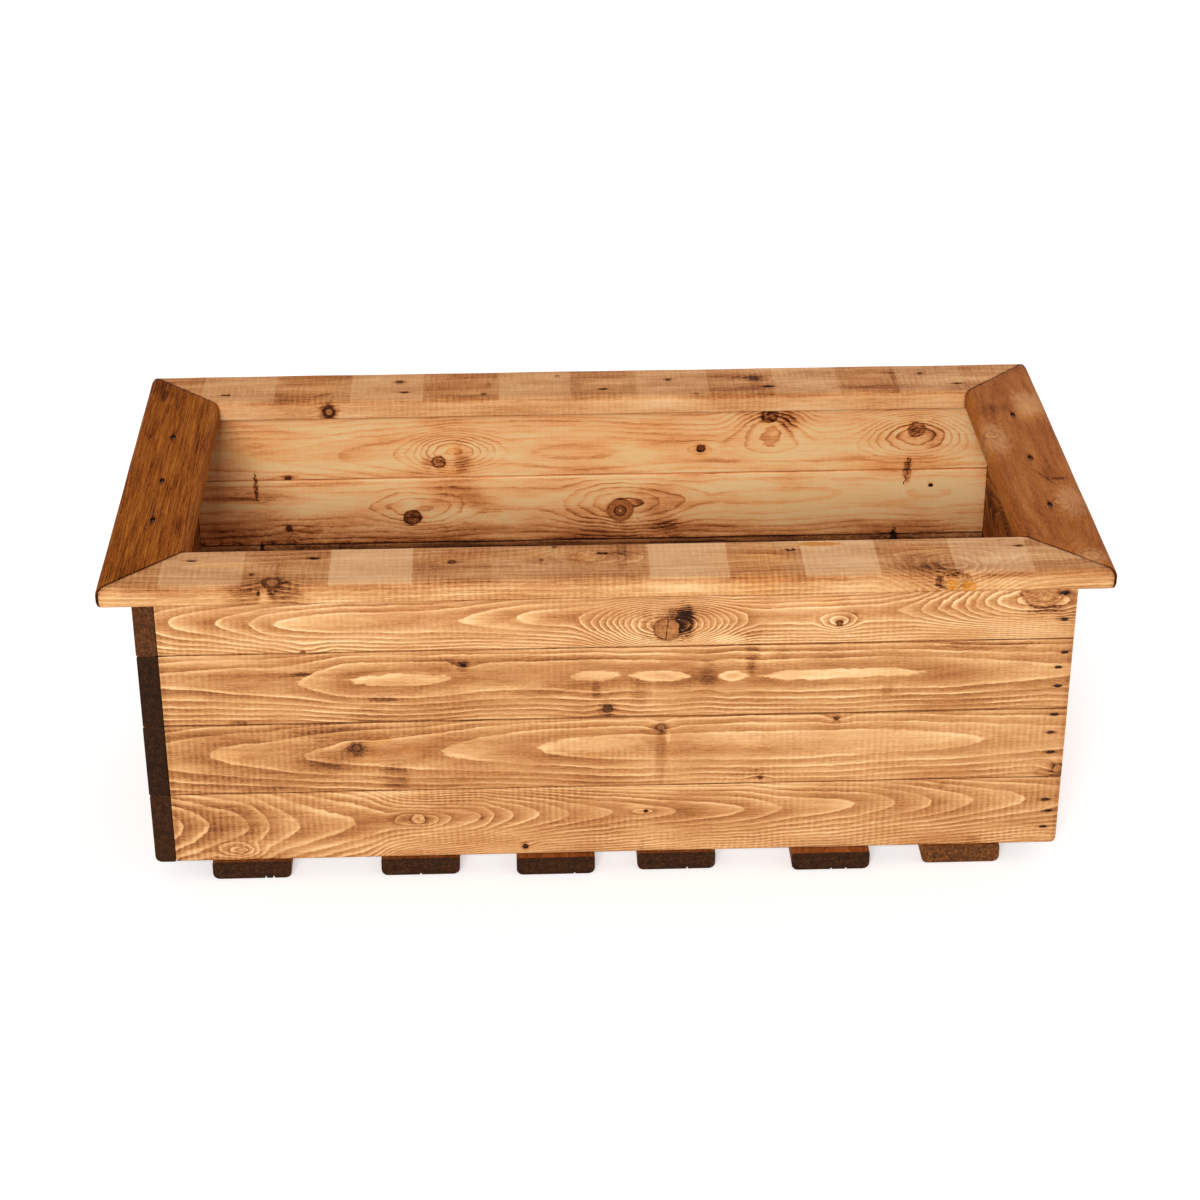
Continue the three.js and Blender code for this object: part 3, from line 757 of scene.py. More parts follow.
# Along a board's edges: how many mm a shade reaches, and its tone.
END_SHADE = (9, -0.1)
MITRE_SHADE = (0.6, 2.6, -0.3)
LOWER_SHADE = (1.8, -0.28)
UPPER_SHADE = (1.0, -0.24)
# A painted highlight on a course's upper arris, where the rounded edge catches the light from
# above: where it begins and ends, in mm below the edge, and its tone.
ARRIS_HIGHLIGHT = (4.5, 1.5, 0.1)

# A nail's hole and the tear along the grain: half their sizes in mm, where they
# begin and end to fade, in those sizes, and their tones.
HOLE = ((3.3, 1.7), 0.6, 1.3, -0.34)
TEAR = ((7, 1.8), 0.3, 1.5, -0.2)


class Wood(Finish):
    """The finish of one board, from its place and its figure."""

    def __init__(self, name, board, figure, nails=()):
        super().__init__(bpy.data.materials.new(name))
        self.board, self.figure, self.nails = board, figure, nails
        self.colours = bpy.context.scene.planter_colours
        self.sizes = bpy.context.scene.planter_sizes

    def find_place(self):
        """Object coordinates in mm from the board's middle line, and the noises
        that several parts of the finish share."""
        place = self.node("ShaderNodeTexCoord", output="Object")
        scale = (1 / MM,) * 3
        self.place = self.vector("MULTIPLY_ADD", place, scale, tuple(-self.board.origin))
        parts = [self.node("ShaderNodeSeparateXYZ", None, [self.place], output=i) for i in range(3)]
        self.u, self.v, self.w = (
            parts[axis] for axis in (self.board.along, self.board.across, self.board.through))
        for name in ("blotch", "fibre", "fine", "speck", "ragged"):
            setattr(self, name, self.grain_noise(name))

    def grain_noise(self, name):
        """One of the noises about 0."""
        along, across, detail, roughness, shift = NOISES[name]
        factors = self.board.stretch(along, across)
        place = self.vector("MULTIPLY_ADD", self.place, factors, (shift, 2 * shift, 3 * shift))
        return self.noise(place, detail, roughness) - 0.5

    def distance(self, place, size, lean=0.0, deep=None):
        """Distance from a place on the board, in units of the sizes along and
        across it. Without `deep` it is from a line through the board there."""
        board = self.board
        factors, offset = np.zeros(3), np.zeros(3)
        extents = [(board.along, place[0], size[0]), (board.across, place[1], size[1])]
        if deep:
            extents.append((board.through, *deep))
        for axis, middle, extent in extents:
            factors[axis], offset[axis] = 1 / extent, -middle / extent
        spot = self.vector("MULTIPLY_ADD", self.place, tuple(factors), tuple(offset))
        if lean:
            # The place across falls by the lean for each mm along.
            along = (self.u - place[0]) * (-lean / size[1])
            sides = [along if axis == board.across else 0.0 for axis in range(3)]
            spot = self.vector("ADD", spot, self.node("ShaderNodeCombineXYZ", None, sides))
        return self.vector("LENGTH", spot, output="Value")

    def along_curve(self, points):
        """A value that follows a list of places along the board and values. The
        curve itself runs from 0 to 1, with a tenth to spare above its highest point."""
        places, values = (np.array(column, float) for column in zip(*points))
        top, span = values.max() * 1.1, places[-1] - places[0]
        points = [(float(x), float(y)) for x, y in zip((places - places[0]) / span, values / top)]
        place = (self.u - places[0]) / span
        return self.node("ShaderNodeFloatCurve", {"points": points}, {"Value": place}) * top

    def grow(self):
        """Counts the growth rings from the pith, bent round the knots.

        The count is the distance from the pith, whose depth below the board
        follows the figure's list, over the rings' spacing. Each knot adds its
        pull, which fades out smoothly with the distance from it."""
        figure, board = self.figure, self.board
        spacing, wild = figure["spacing"], figure.get("wild", 0.0)
        depth = self.along_curve(figure["rings"]) * spacing
        left, right = figure["axis"]
        slope = (right - left) / (2 * board.half_length)
        drift = self.grain_noise("drift")
        across = self.v - self.u * slope - ((left + right) / 2 - slope * board.middle)
        across = across + drift * PITH_DRIFT
        if "flare" in figure:
            across = across * self.along_curve(figure["flare"])
        deep = depth + board.half_thickness - self.w * figure.get("seen", -1)
        radius = (across * across + deep * deep) ** 0.5
        count = radius / spacing
        sway = self.grain_noise("sway")
        self.near = 0.0
        for item in figure["knots"]:
            rings, long, wide = item["pull"]
            if rings:
                far = self.distance(item["bend"], (long, wide))
                far = far + sway * min(SWAY, SWAY_RINGS / abs(rings))
                bend = self.smooth(far, 0.0, 1.0, 1.0, 0.0)
                count = count + bend * rings
                self.near = bend * min(1.0, abs(rings) / FULL_PULL) + self.near
        self.steep = across.size() / radius
        uneven = self.steep * (STEEP_RAGGED / spacing) + (COUNT_RAGGED + WILD_RAGGED * wild)
        count = count + drift * (COUNT_DRIFT + WILD_DRIFT * wild)
        self.count = count + self.ragged * uneven + self.fine * COUNT_FINE

    def ring_tone(self):
        """The tone of a ring: dark early wood that pales towards a line of late
        wood, which ends abruptly. The line is about as wide on the figure's
        steep flanks as it is at its tips, and fades here and there."""
        part = self.count.part()
        lines = DARK_LINES if self.figure["line"] < 0 else PALE_LINES
        wide = self.steep * (lines["steep"] / self.figure["spacing"]) + lines["wide"]
        place = (1 - part) / wide
        self.line = self.smooth(place, *LINE_EDGE) * self.smooth(place, *LINE_TAIL)
        ring = {"W": self.count.whole()}
        strength = self.node("ShaderNodeTexWhiteNoise", {"noise_dimensions": "1D"}, ring)
        shown = self.smooth(self.grain_noise("fading"), -0.16, 0.14, 0.15, 1.0)
        shown = shown * lines["shown"] + self.near * lines["near"]
        rise = self.smooth(part, *lines["rise"])
        return rise * (shown * 0.6 + 0.5) + self.line * (strength * 0.8 + 0.4) * shown

    def marked(self, tone):
        """Adds the patches, each fading out at its ragged edge."""
        ragged = self.ragged * 1.3 + self.speck * 0.6
        for item in self.figure["marks"]:
            far = self.distance(item["place"], item["size"], item["lean"], item["deep"]) + ragged
            soft = item["soft"]
            tone = tone + self.smooth(far, 1 - soft, 1 + soft, item["tone"], 0.0)
        return tone

    def knotted(self, tone):
        """Puts each knot over the grain: a mottled core with faint rings, and a
        dark, broken rim in a halo."""
        broken = self.smooth(self.ragged + self.fine * 0.5, -0.14, 0.14, 0.2, 1.0)
        coarse = self.ragged + self.speck
        for item in self.figure["knots"]:
            radius = item["size"][0]
            uneven = self.ragged * min(0.7, 5 / radius) + self.speck * min(0.2, 1 / radius)
            far = self.distance(item["place"], item["size"], deep=item["deep"]) + uneven
            if item["halo"]:
                spread = self.ragged * 1.4 + self.speck + far
                tone = tone + self.smooth(spread, 0.9, item["reach"], item["halo"], 0.0)
            core = (far * 15.0).wave() * 0.03 + self.fine * 0.3 + coarse * item["mottle"]
            share = self.smooth(far, 0.92, 1.04, 1.0, 0.0)
            tone = tone + share * (core + (0.5 + item["core"]) - tone)
            reach = 0.08 + 0.9 / radius
            band = self.smooth((far - 1.0).size(), reach * 0.35, reach, item["rim"], 0.0)
            tone = tone + band * broken
            if item["crack"] is not None:
                tone = tone + self.crack(item)
        return tone

    def crack(self, item):
        """A thin dark line through a knot's middle at an angle to the grain."""
        turn, radius = radians(item["crack"]), item["size"][0]
        u, v = item["place"]
        reach = self.distance(item["place"], (radius * 0.9, radius * 0.9))
        side = (self.u - u) * np.sin(turn) - (self.v - v) * np.cos(turn) + self.ragged * 2
        line = self.smooth(side.size(), 0.15, 0.7, 1.0, 0.0)
        return line * self.smooth(reach, 0.8, 1.1, -0.3, 0.0)

    def pierced(self, tone):
        """A dark hole with a tear along the grain at each nail."""
        torn = self.figure.get("torn", 1)
        shades = (self.speck * 0.8, HOLE), (self.ragged, TEAR)
        for place in self.nails:
            for ragged, (size, start, stop, shade) in shades:
                far = self.distance(place, [part * torn for part in size]) + ragged
                tone = tone + self.smooth(far, start, stop, shade, 0.0)
        return tone

    def stickers(self):
        """The pale bands that drying sticks left across the rim's upper face."""
        bands, strengths = self.figure["stickers"], self.figure["sticker_tone"]
        start, span = bands[0][0] - 20, bands[-1][1] - bands[0][0] + 40
        place = (self.u + self.ragged * 3 - start) / span
        stops = [(0.0, 0.0)]
        for (left, right), strength in zip(bands, strengths):
            stops += [((left - start) / span, strength / 2), ((right - start) / span, 0.0)]
        upper_face = self.smooth(self.w, 6.5, 8.5)
        return self.ramp(place, *stops, interpolation="CONSTANT") * upper_face

    def edges(self, tone):
        """Dark joints and painted highlights on the upper arrises between a wall's
        courses; dark mitres, and painted light that makes the rim's side faces
        paler; darker board ends."""
        board, half_width = self.board, self.board.half_width
        ends = (self.u - board.middle).size() + self.ragged * 12
        reach, shade = END_SHADE
        tone = tone + self.smooth(ends, board.half_length - reach, board.half_length, 0.0, shade)
        if "mitre" in self.figure:
            side, out = self.figure["mitre"]
            far = self.u.size() * -1 - self.v * out + (side - half_width)
            start, stop, shade = MITRE_SHADE
            tone = tone + self.smooth(far + self.ragged * 2, start, stop, shade, 0.0)
            facing = self.node("ShaderNodeNewGeometry", output="Normal")
            upright = self.node("ShaderNodeSeparateXYZ", None, [facing], output=Z).size()
            self.top = self.smooth(upright, 0.15, 0.75)
            # Painted light: the rim's side faces are made paler than its top.
            return tone + (1 - self.top) * self.figure.get("side_tone", 0.1)
        if self.figure.get("loose"):
            return tone
        height = self.v + self.ragged * 1.2
        reach, shade = LOWER_SHADE
        tone = tone + self.smooth(height, -half_width, reach - half_width, shade, 0.0)
        reach, shade = UPPER_SHADE
        tone = tone + self.smooth(height, half_width - reach, half_width, 0.0, shade)
        # Painted highlight: the upper arris is made paler, for the light it catches from above.
        start, stop, shade = ARRIS_HIGHLIGHT
        height = self.v + self.ragged * 2
        return tone + self.smooth(height, half_width - start, half_width - stop, 0.0, shade)

    def build(self):
        """The whole finish: its tone, then its colours, its bump and its gloss."""
        figure = self.figure
        self.find_place()
        self.grow()
        rib = self.u * (2 * pi * MM / self.sizes.rib_pitch) + self.blotch * 4
        ribs = rib.wave() * self.smooth(self.grain_noise("rib_fading"), -0.14, 0.14)
        streaks = figure.get("fibre", 1)
        tone = self.ring_tone() * figure["line"]
        tone = tone + self.blotch * figure.get("blotch", BLOTCH_TONE)
        tone = tone + self.fibre * (FIBRE_TONE * streaks)
        tone = tone + self.fine * (FINE_TONE * min(streaks, MOST_FINE_STREAKS))
        tone = tone + self.speck * SPECK_TONE + ribs * (RIB_TONE * figure["ribs"])
        tone = self.marked(tone + (0.5 + figure["tone"]))
        wash = None
        if "stickers" in figure:
            wash = self.stickers()
            tone = tone + wash * 0.3
        tone = self.pierced(self.edges(self.knotted(tone)))
        if "scratched" in figure:
            tone = tone + self.grain_noise("scratches") * self.top * figure["scratched"]
        base = self.mix(self.end_grain(), self.painted(tone, wash), self.end_colour())
        height = self.fibre * FIBRE_BUMP + ribs * RIB_BUMP + self.speck * SPECK_BUMP
        bump = self.node("ShaderNodeBump", None, {**BUMP, "Height": height})
        shine = figure.get("shine", 0.1)
        return self.surface(Base_Color=base, Roughness=self.smooth(tone, *ROUGHNESS), Normal=bump,
                            Specular_IOR_Level=shine)

    def painted(self, tone, wash):
        """The tone as a colour between the wood's darkest and palest, paler and
        greyer under a wash, and more golden or resinous in places."""
        figure, colours = self.figure, self.colours
        tint = np.array(STAIN_AND_LIGHT_TINTS[figure.get("wood", "oak")])
        stops = [(place, tuple(np.minimum(np.array(getattr(colours, name)) * tint, 1)))
                 for place, name in TONES]
        paint = self.ramp(tone, *stops)
        thin = self.smooth(self.blotch, 0.0, -0.2)
        paint = self.mix(thin, paint, THIN_STAIN, blend="MULTIPLY")
        # Painted light: the upper face is tinted rosier, for how the light falls on it.
        if figure.get("rosy_top"):
            paint = self.mix(self.top, paint, TOP_LIGHT_TINT, blend="MULTIPLY")
        if wash:
            share = wash * self.smooth(tone, 0.1, 0.4, 0.0, 0.5)
            paint = self.mix(share, paint, (*colours.washed, 1))
        ragged = self.ragged * 1.6 + self.speck * 0.8
        for key, blend in (("amber", "MULTIPLY"), ("washed", "MIX")):
            colour = (*getattr(colours, key), 1)
            for u, v, long, wide, share in figure.get(key, ()):
                far = self.distance((u, v), (long, wide)) + ragged
                paint = self.mix(self.smooth(far, 0.5, 1.3, share, 0.0), paint, colour, blend)
        resin = (*colours.resin, 1)
        for u, v, long, wide, height, tall in figure.get("chips", ()):
            far = self.distance((u, v), (long, wide), deep=(height, tall)) + ragged
            paint = self.mix(self.smooth(far, 0.8, 1.1, 0.6, 0.0), paint, resin)
        if "resin" in figure:
            u, v, long, wide = figure["resin"]
            far = self.distance((u, v), (long, wide)) + ragged
            paint = self.mix(self.smooth(far, 0.8, 1.0, 0.9, 0.0), paint, resin)
        return paint

    def end_grain(self):
        """1 on the board's cut ends, whose faces look along the grain."""
        facing = self.node("ShaderNodeNewGeometry", output="Normal")
        part = self.node("ShaderNodeSeparateXYZ", None, [facing], output=self.board.along)
        return self.smooth(part.size() + self.speck * 0.2, 0.72, 0.85)

    def end_colour(self):
        """Dark pores and pale fibres, with the rings only faint."""
        tone = self.line * 0.1 + self.speck * 1.6 + self.ragged * 1.2 + 0.42
        dark = np.array(self.colours.end_grain) * self.figure.get("ends", 1)
        return self.ramp(tone, (0.0, tuple(dark * 0.3)), (0.5, tuple(dark)), (1.0, tuple(dark * 3)))


def repaint(node, material):
    """Puts a finish on a node of the frame, whose shape stays."""
    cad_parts[node].data.materials.clear()
    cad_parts[node].data.materials.append(material)


# ---- Surfaces ----


def new_piece(name, points, faces, material):
    """A mesh in its place, its faces turned outwards, that rides with the box."""
    points = np.asarray(points, float) * MM
    mesh = bpy.data.meshes.new(name)
    mesh.from_pydata(points.tolist(), [], faces)
    mesh.polygons.foreach_set("use_smooth", np.array([len(face) == 4 for face in faces]))
    mesh.update()
    mesh.materials.append(material)
    piece = bpy.data.objects.new(name, mesh)
    bpy.context.scene.collection.objects.link(piece)
    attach(piece, "root")
    return piece


def tube_faces(columns, rows, offset=0):
    """Faces of a grid of columns of points round a tube, and of its two ends."""
    column, row = np.meshgrid(np.arange(columns - 1), np.arange(rows), indexing="ij")
    after = (row + 1) % rows
    quads = np.stack([column * rows + row, column * rows + after,
                      (column + 1) * rows + after, (column + 1) * rows + row], axis=-1)
    ends = [(np.arange(rows)[::-1] + offset).tolist(),
            (np.arange(rows) + (columns - 1) * rows + offset).tolist()]
    return (quads.reshape(-1, 4) + offset).tolist() + ends


FENCE = 6001  # how many places `spread` sums its density at


def spread(start, stop, step, finer=()):
    """Places from start to stop about a step apart: the running total of a
    density, cut into equal parts. `finer` lists a place, its reach and the step
    there."""
    fence = np.linspace(start, stop, FENCE)
    density = np.full(fence.shape, 1 / step)
    for place, reach, fine in finer:
        density = np.maximum(density, np.where(np.abs(fence - place) < reach, 1 / fine, 0))
    total = np.concatenate([[0], np.cumsum((density[1:] + density[:-1]) / 2 * np.diff(fence))])
    return np.interp(np.linspace(0, total[-1], int(round(total[-1])) + 1), total, fence)


# The rim's mesh, in mm: the steps along a board and round its section, those
# near a row of nails and how far they reach, and the points of a corner.
COLUMN_STEP, SECTION_STEP = 5, 2.8
NAIL_ROW_STEP, NAIL_ROW_REACH = 0.45, 3.6
CORNER_POINTS = 9
# A dent's columns go this much past its half length, which holds this many.
DENT_MARGIN, DENT_COLUMNS = 1.3, 7
# A dent has its full depth to the first share of its sizes, and fades over the
# second.
DENT_FLOOR, DENT_SLOPE = 0.65, 0.45
# The mm over which the wear of the rim's edge rises and falls along it.
WEAR_WAVES = (41, 17.3)
TIP_ROUNDS = 12  # how often the place of a tip's quarter circle is bettered


def rim_section(width, thickness, radii, nail_row):
    """The rim board's section, as three arrays. `a` runs from the outer edge to
    the inner one and `h` up from the underside: quarter circles of the given
    radii at the corners, joined by straight runs. `look` is the angle at which
    the surface looks out."""
    outer, under, arris, inner = radii
    corners = [
        (outer, thickness - outer, outer, 90), (under, under, under, 180),
        (width - arris, arris, arris, 270), (width - inner, thickness - inner, inner, 0)]
    parts = []
    for i, (centre_a, centre_h, radius, start) in enumerate(corners):
        turn = np.radians(np.linspace(start, start + 90, CORNER_POINTS))
        corner = np.stack([centre_a + radius * np.cos(turn), centre_h + radius * np.sin(turn)])
        next_a, next_h, next_radius, next_start = corners[(i + 1) % 4]
        out = np.radians(next_start)
        first = corner[:, -1]
        last = np.array([next_a, next_h]) + next_radius * np.array([np.cos(out), np.sin(out)])
        run = np.linalg.norm(last - first)
        upper = next_start == 90
        finer = [(first[0] - nail_row, NAIL_ROW_REACH, NAIL_ROW_STEP)] if upper else []
        share = spread(0, run, SECTION_STEP, finer)[1:-1] / run
        straight = first[:, None] + (last - first)[:, None] * share
        looks = np.concatenate([turn, np.full(share.shape, out)])
        parts.append(np.vstack([np.hstack([corner, straight]), looks]))
    return np.hstack(parts)


def rim_board(side, material, dents):
    """A mitred rim board. Its section is carried along it; each point's place
    along the board is a share of the length there, which shrinks by as much as
    the point lies in from the outer edge, so that both ends are cut at 45
    degrees. Towards the tips the outer edge draws in along a quarter circle.
    The upper outer edge is worn in waves along it, and each dent sinks the
    surface inside an ellipsoid."""
    sizes = bpy.context.scene.planter_sizes
    low, high = box_of(f"rim_{side}")
    extent = np.array(CAD_BOX[1]) / MM - np.array(CAD_BOX[0]) / MM
    turn = TURNS[side]
    along = X if side in ("front", "back") else Y
    width, thickness = (high - low)[1 - along], (high - low)[Z]
    half, reach = extent[along] / 2, extent[1 - along] / 2
    radii = [
        size / MM for size in (sizes.rim_outer, sizes.rim_under, sizes.rim_arris, sizes.rim_inner)]
    section_a, section_h, section_look = rim_section(width, thickness, radii, dents[0][1])
    finer = [(u / (half - a), DENT_MARGIN * long / half, long / DENT_COLUMNS / half)
             for u, a, _, long, *_ in dents]
    columns = spread(-1, 1, COLUMN_STEP / half, finer)
    share, a = np.meshgrid(columns, section_a, indexing="ij")
    h, look = (np.broadcast_to(part, share.shape) for part in (section_h, section_look))
    back, tip = sizes.mitre_gap / MM / 2 * sqrt(2), sizes.rim_tip / MM
    drawn = a
    for _ in range(TIP_ROUNDS):
        u = share * (half - drawn - back)
        from_tip = np.clip(half - np.abs(u), 0, tip)
        quarter = tip - np.sqrt(tip ** 2 - (tip - from_tip) ** 2)
        drawn = (drawn + a + (1 - a / width) * quarter) / 2
    a = drawn
    slow, quick = WEAR_WAVES
    waves = (2 + np.sin(u / slow + turn) + np.sin(u / quick + 2 * turn)) / 4
    sink = waves * sizes.edge_wear / MM * np.clip(np.cos(look - radians(135)), 0, 1) ** 4
    for dent_u, dent_a, dent_h, long, wide, tall, depth in dents:
        far = ((u - dent_u) / long) ** 2 + ((a - dent_a) / wide) ** 2 + ((h - dent_h) / tall) ** 2
        rise = np.clip((np.sqrt(far) - DENT_FLOOR) / DENT_SLOPE, 0, 1)
        sink = sink + depth * (1 - rise * rise * (3 - 2 * rise))
    a, h = a - sink * np.cos(look), h - sink * np.sin(look)
    points = np.stack([u, a - reach, h + low[Z]], axis=-1).reshape(-1, 3)
    faces = tube_faces(*share.shape)
    piece = new_piece(f"rim_{side}_board", turned(points, turn), faces, material)
    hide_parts(f"rim_{side}")
    return piece


# A nail head's outline, the radius and the height below its top of each ring of
# points, in mm; the points of a ring; and its length over its width.
HEAD_OUTLINE = ((1.3, -0.5), (1.32, -0.28), (1.18, -0.1), (0.85, -0.03), (0.4, 0.0))
HEAD_POINTS = 14
HEAD_OVAL = 1.9


def nail_heads(name, tops, out, grain, material):
    """Oval nail heads. Each is a low dome round its nail, stretched along the
    grain: rings of points whose radius falls as they rise to the top."""
    out, grain = np.array(out, float), np.array(grain, float)
    radii, heights = np.array(HEAD_OUTLINE).T
    angle = np.linspace(0, 2 * pi, HEAD_POINTS, endpoint=False)
    across = np.cross(out, grain)
    ring = np.outer(np.cos(angle) * HEAD_OVAL, grain) + np.outer(np.sin(angle), across)
    head = radii[:, None, None] * ring + heights[:, None, None] * out
    points = (np.array(tops)[:, None, None, :] + head).reshape(-1, 3)
    each = head.shape[0] * head.shape[1]
    faces = [face for i in range(len(tops)) for face in tube_faces(*head.shape[:2], i * each)]
    return new_piece(name, points, faces, material)


# ---- Where the nails are ----

# How far each side is turned from the front, in degrees.
TURNS = {"front": 0, "right": 90, "back": 180, "left": 270}
COURSES = range(1, 5)
SLATS = range(1, 7)
JOINT = 0.4  # the gap between two courses, in mm
BOARD_THICKNESS = 18
DENT = 1.2  # how far a nail's top lies below the face

# The corner nails of each course: the share of its height, and how far the
# nail strays from the middle of the board it enters, in board thicknesses.
CORNER_NAILS = (
    ((0.25, -0.19), (0.49, 0), (0.66, -0.19)),
    ((0.37, -0.13), (0.66, -0.22), (0.92, -0.11)),
    ((0.33, -0.06), (0.6, -0.12), (0.81, 0.12)),
    ((0.29, -0.03), (0.67, -0.17)),
)
# The nails of each rim board along it, and how far the row lies in from the
# rim's outer edge.
RIM_NAILS = {
    "front": ((-350.5, -247.2, -3.6, 155.4, 350.5), 50),
    "right": ((-94.5, 1.8, 96.3), 35),
    "back": ((-350.5, -168.05, -9, 180.65, 350.5), 50),
    "left": ((-78.3, 14.4, 92.7), 35),
}
# Half the sizes of a nail's dent in the rim, along, across and up.
NAIL_DENT = (3.7, 2.0, 4)
# How much wider than elsewhere the tears round the rim's nails are.
RIM_TORN = 1.35
# Chips out of the rim's edges: how far along, in from the outer edge and up
# from the underside, half their sizes the same ways, and how deep.
RIM_CHIPS = {
    "front": [(279, 3, 4, 6, 4, 5, 0.9), (296, 2, 12, 5, 4, 5, 0.8), (303, 1, 6, 4, 3, 4, 0.7),
              (-288, 2, 9, 3, 3, 3, 0.5)],
    "back": [(115, 0, 12, 4, 6, 5, 0.8)],
}
# How much paler some boards' cut ends are than the others'.
END_SHADES = {"left_end_course_4": 2.6, "left_end_course_1": 1.1, "left_end_course_2": 0.75,
              "left_end_course_3": 0.75, "base_slat_6": 3.4}
# How far the two nails at each end of a slat stand from its middle line, and
# how far from the middle of the box.
SLAT_NAILS = (18, 173.5)


def turned(points, degrees):
    """Points turned about the box's middle axis."""
    return np.asarray(points, float) @ np.array(Matrix.Rotation(radians(degrees), 3, "Z")).T


def box_of(node):
    low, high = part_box(node)
    return np.array(low) / MM, np.array(high) / MM


def corner_nails(wall, course):
    """The tops of a course's corner nails, in mm."""
    turn = TURNS[wall.split("_")[0]]
    corners = turned(box_of(f"{wall}_course_{course}"), -turn)
    low, high = corners.min(axis=0), corners.max(axis=0)
    height = high[Z] - low[Z] + JOINT
    share, stray = np.array(CORNER_NAILS[course - 1]).T
    tops = [high[X] - BOARD_THICKNESS * (0.5 - stray), np.full(share.shape, low[Y] + DENT),
            low[Z] - JOINT / 2 + share * height]
    return turned(np.stack(tops, axis=-1), turn)


def rim_nails(side):
    """The tops of a rim board's nails, in mm."""
    places, row = RIM_NAILS[side]
    low, high = (np.array(corner) / MM for corner in CAD_BOX)
    reach = high[Y] if side in ("front", "back") else high[X]
    return turned([(place, row - reach, high[Z] - DENT) for place in places], TURNS[side])


def slat_nails(number):
    """The nails up through a slat, in mm."""
    low, high = box_of(f"base_slat_{number}")
    spread_x, reach = SLAT_NAILS
    middle = (low[X] + high[X]) / 2
    return np.array([(middle + side * spread_x, end * reach, DENT)
                     for side in (-1, 1) for end in (-1, 1)])


def tears(board, nails):
    """Where nails pierce a board, in its own two coordinates."""
    return [(nail[board.along], nail[board.across] - board.origin[board.across]) for nail in nails]


# ---- Finishes ----


RUST_SPOTS = 900  # spots of rust to the metre
CLEAN_METALLIC, CLEAN_ROUGHNESS, RUST_ROUGHNESS = 0.45, 0.45, 0.35


def steel(name):
    """Dull steel that has begun to rust in spots."""
    colours = bpy.context.scene.planter_colours
    finish = Finish(bpy.data.materials.new(name))
    place = finish.node("ShaderNodeTexCoord", output="Object")
    spots = finish.noise(finish.vector("MULTIPLY", place, (RUST_SPOTS,) * 3), 4, 0.65)
    rusty = finish.smooth(spots, 0.42, 0.58)
    base = finish.mix(rusty, (*colours.steel, 1), (*colours.rust, 1))
    relief = {"Strength": 0.3, "Distance": 0.0002, "Height": spots}
    return finish.surface(
        Base_Color=base, Metallic=CLEAN_METALLIC - rusty * CLEAN_METALLIC,
        Roughness=rusty * RUST_ROUGHNESS + CLEAN_ROUGHNESS,
        Normal=finish.node("ShaderNodeBump", None, relief))


# Painted shade on the inner face of an end wall, which lies in shadow inside the
# box: a mark's sizes, tone, softness and half its depth.
END_WALL_SHADE = (400, 90, -0.24, 0.4, 7)
# A fastener's stain: how much longer than the fastener it is, its tone, its
# softness and half its depth.
FASTENER_STAIN = (0.8, -0.4, 0.25, 4)
# The seeds of the figures of boards that the reference doesn't show.
COURSE_SEED, SLAT_SEED = 3.7, (31, 2.3)


def paint_wall(wall, along, **more):
    """Gives each course of a wall its finish."""
    for course in COURSES:
        name = f"{wall}_course_{course}"
        board = Board(name, along, Z)
        seed = len(wall) + COURSE_SEED * course
        figure = FIGURES.get(name) or plain_figure(seed, board.half_length, **more)
        marks = figure["marks"] + fastener_stains(wall, board)
        # Painted shade: each end wall's inner face is darkened, as it lies in shadow.
        if along == Y:
            inwards = -board.half_thickness * np.sign(board.origin[X])
            long, wide, tone, soft, half_depth = END_WALL_SHADE
            marks.append(mark(0, 0, long, wide, tone, soft, deep=(inwards, half_depth)))
        figure = {**figure, "ends": END_SHADES.get(name, 1), "marks": marks}
        nails = tears(board, corner_nails(wall, course))
        repaint(name, Wood(name, board, figure, nails).build())


def fastener_stains(wall, board):
    """The stains that the fasteners of a wall leave on a board's inner face."""
    boxes = [box_of(name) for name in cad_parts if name.startswith(f"{wall}_corrugated")]
    stains = []
    longer, tone, soft, half_depth = FASTENER_STAIN
    for low, high in boxes:
        middle, half = (low + high) / 2, (high - low) / 2
        if abs(middle[Z] - board.origin[Z]) < board.half_width + half[Z]:
            inwards = board.half_thickness * np.sign(-board.origin[Y])
            stains.append(mark(middle[X], middle[Z] - board.origin[Z], half[X] + longer, half[Z],
                               tone, soft, deep=(inwards, half_depth)))
    return stains


# ---- Operators, one for each group of pieces ----


class PLANTER_OT_long_walls(Operator):
    """Finishes the boards of the front and back walls"""

    bl_idname = "planter.long_walls"
    bl_label = "Long walls"

    def execute(self, context):
        for wall in ("front", "back"):
            paint_wall(wall, X)
        return {"FINISHED"}


class PLANTER_OT_end_walls(Operator):
    """Finishes the boards of the two end walls"""

    bl_idname = "planter.end_walls"
    bl_label = "End walls"

    def execute(self, context):
        for wall in ("right_end", "left_end"):
            paint_wall(wall, Y, wood="russet")
        return {"FINISHED"}


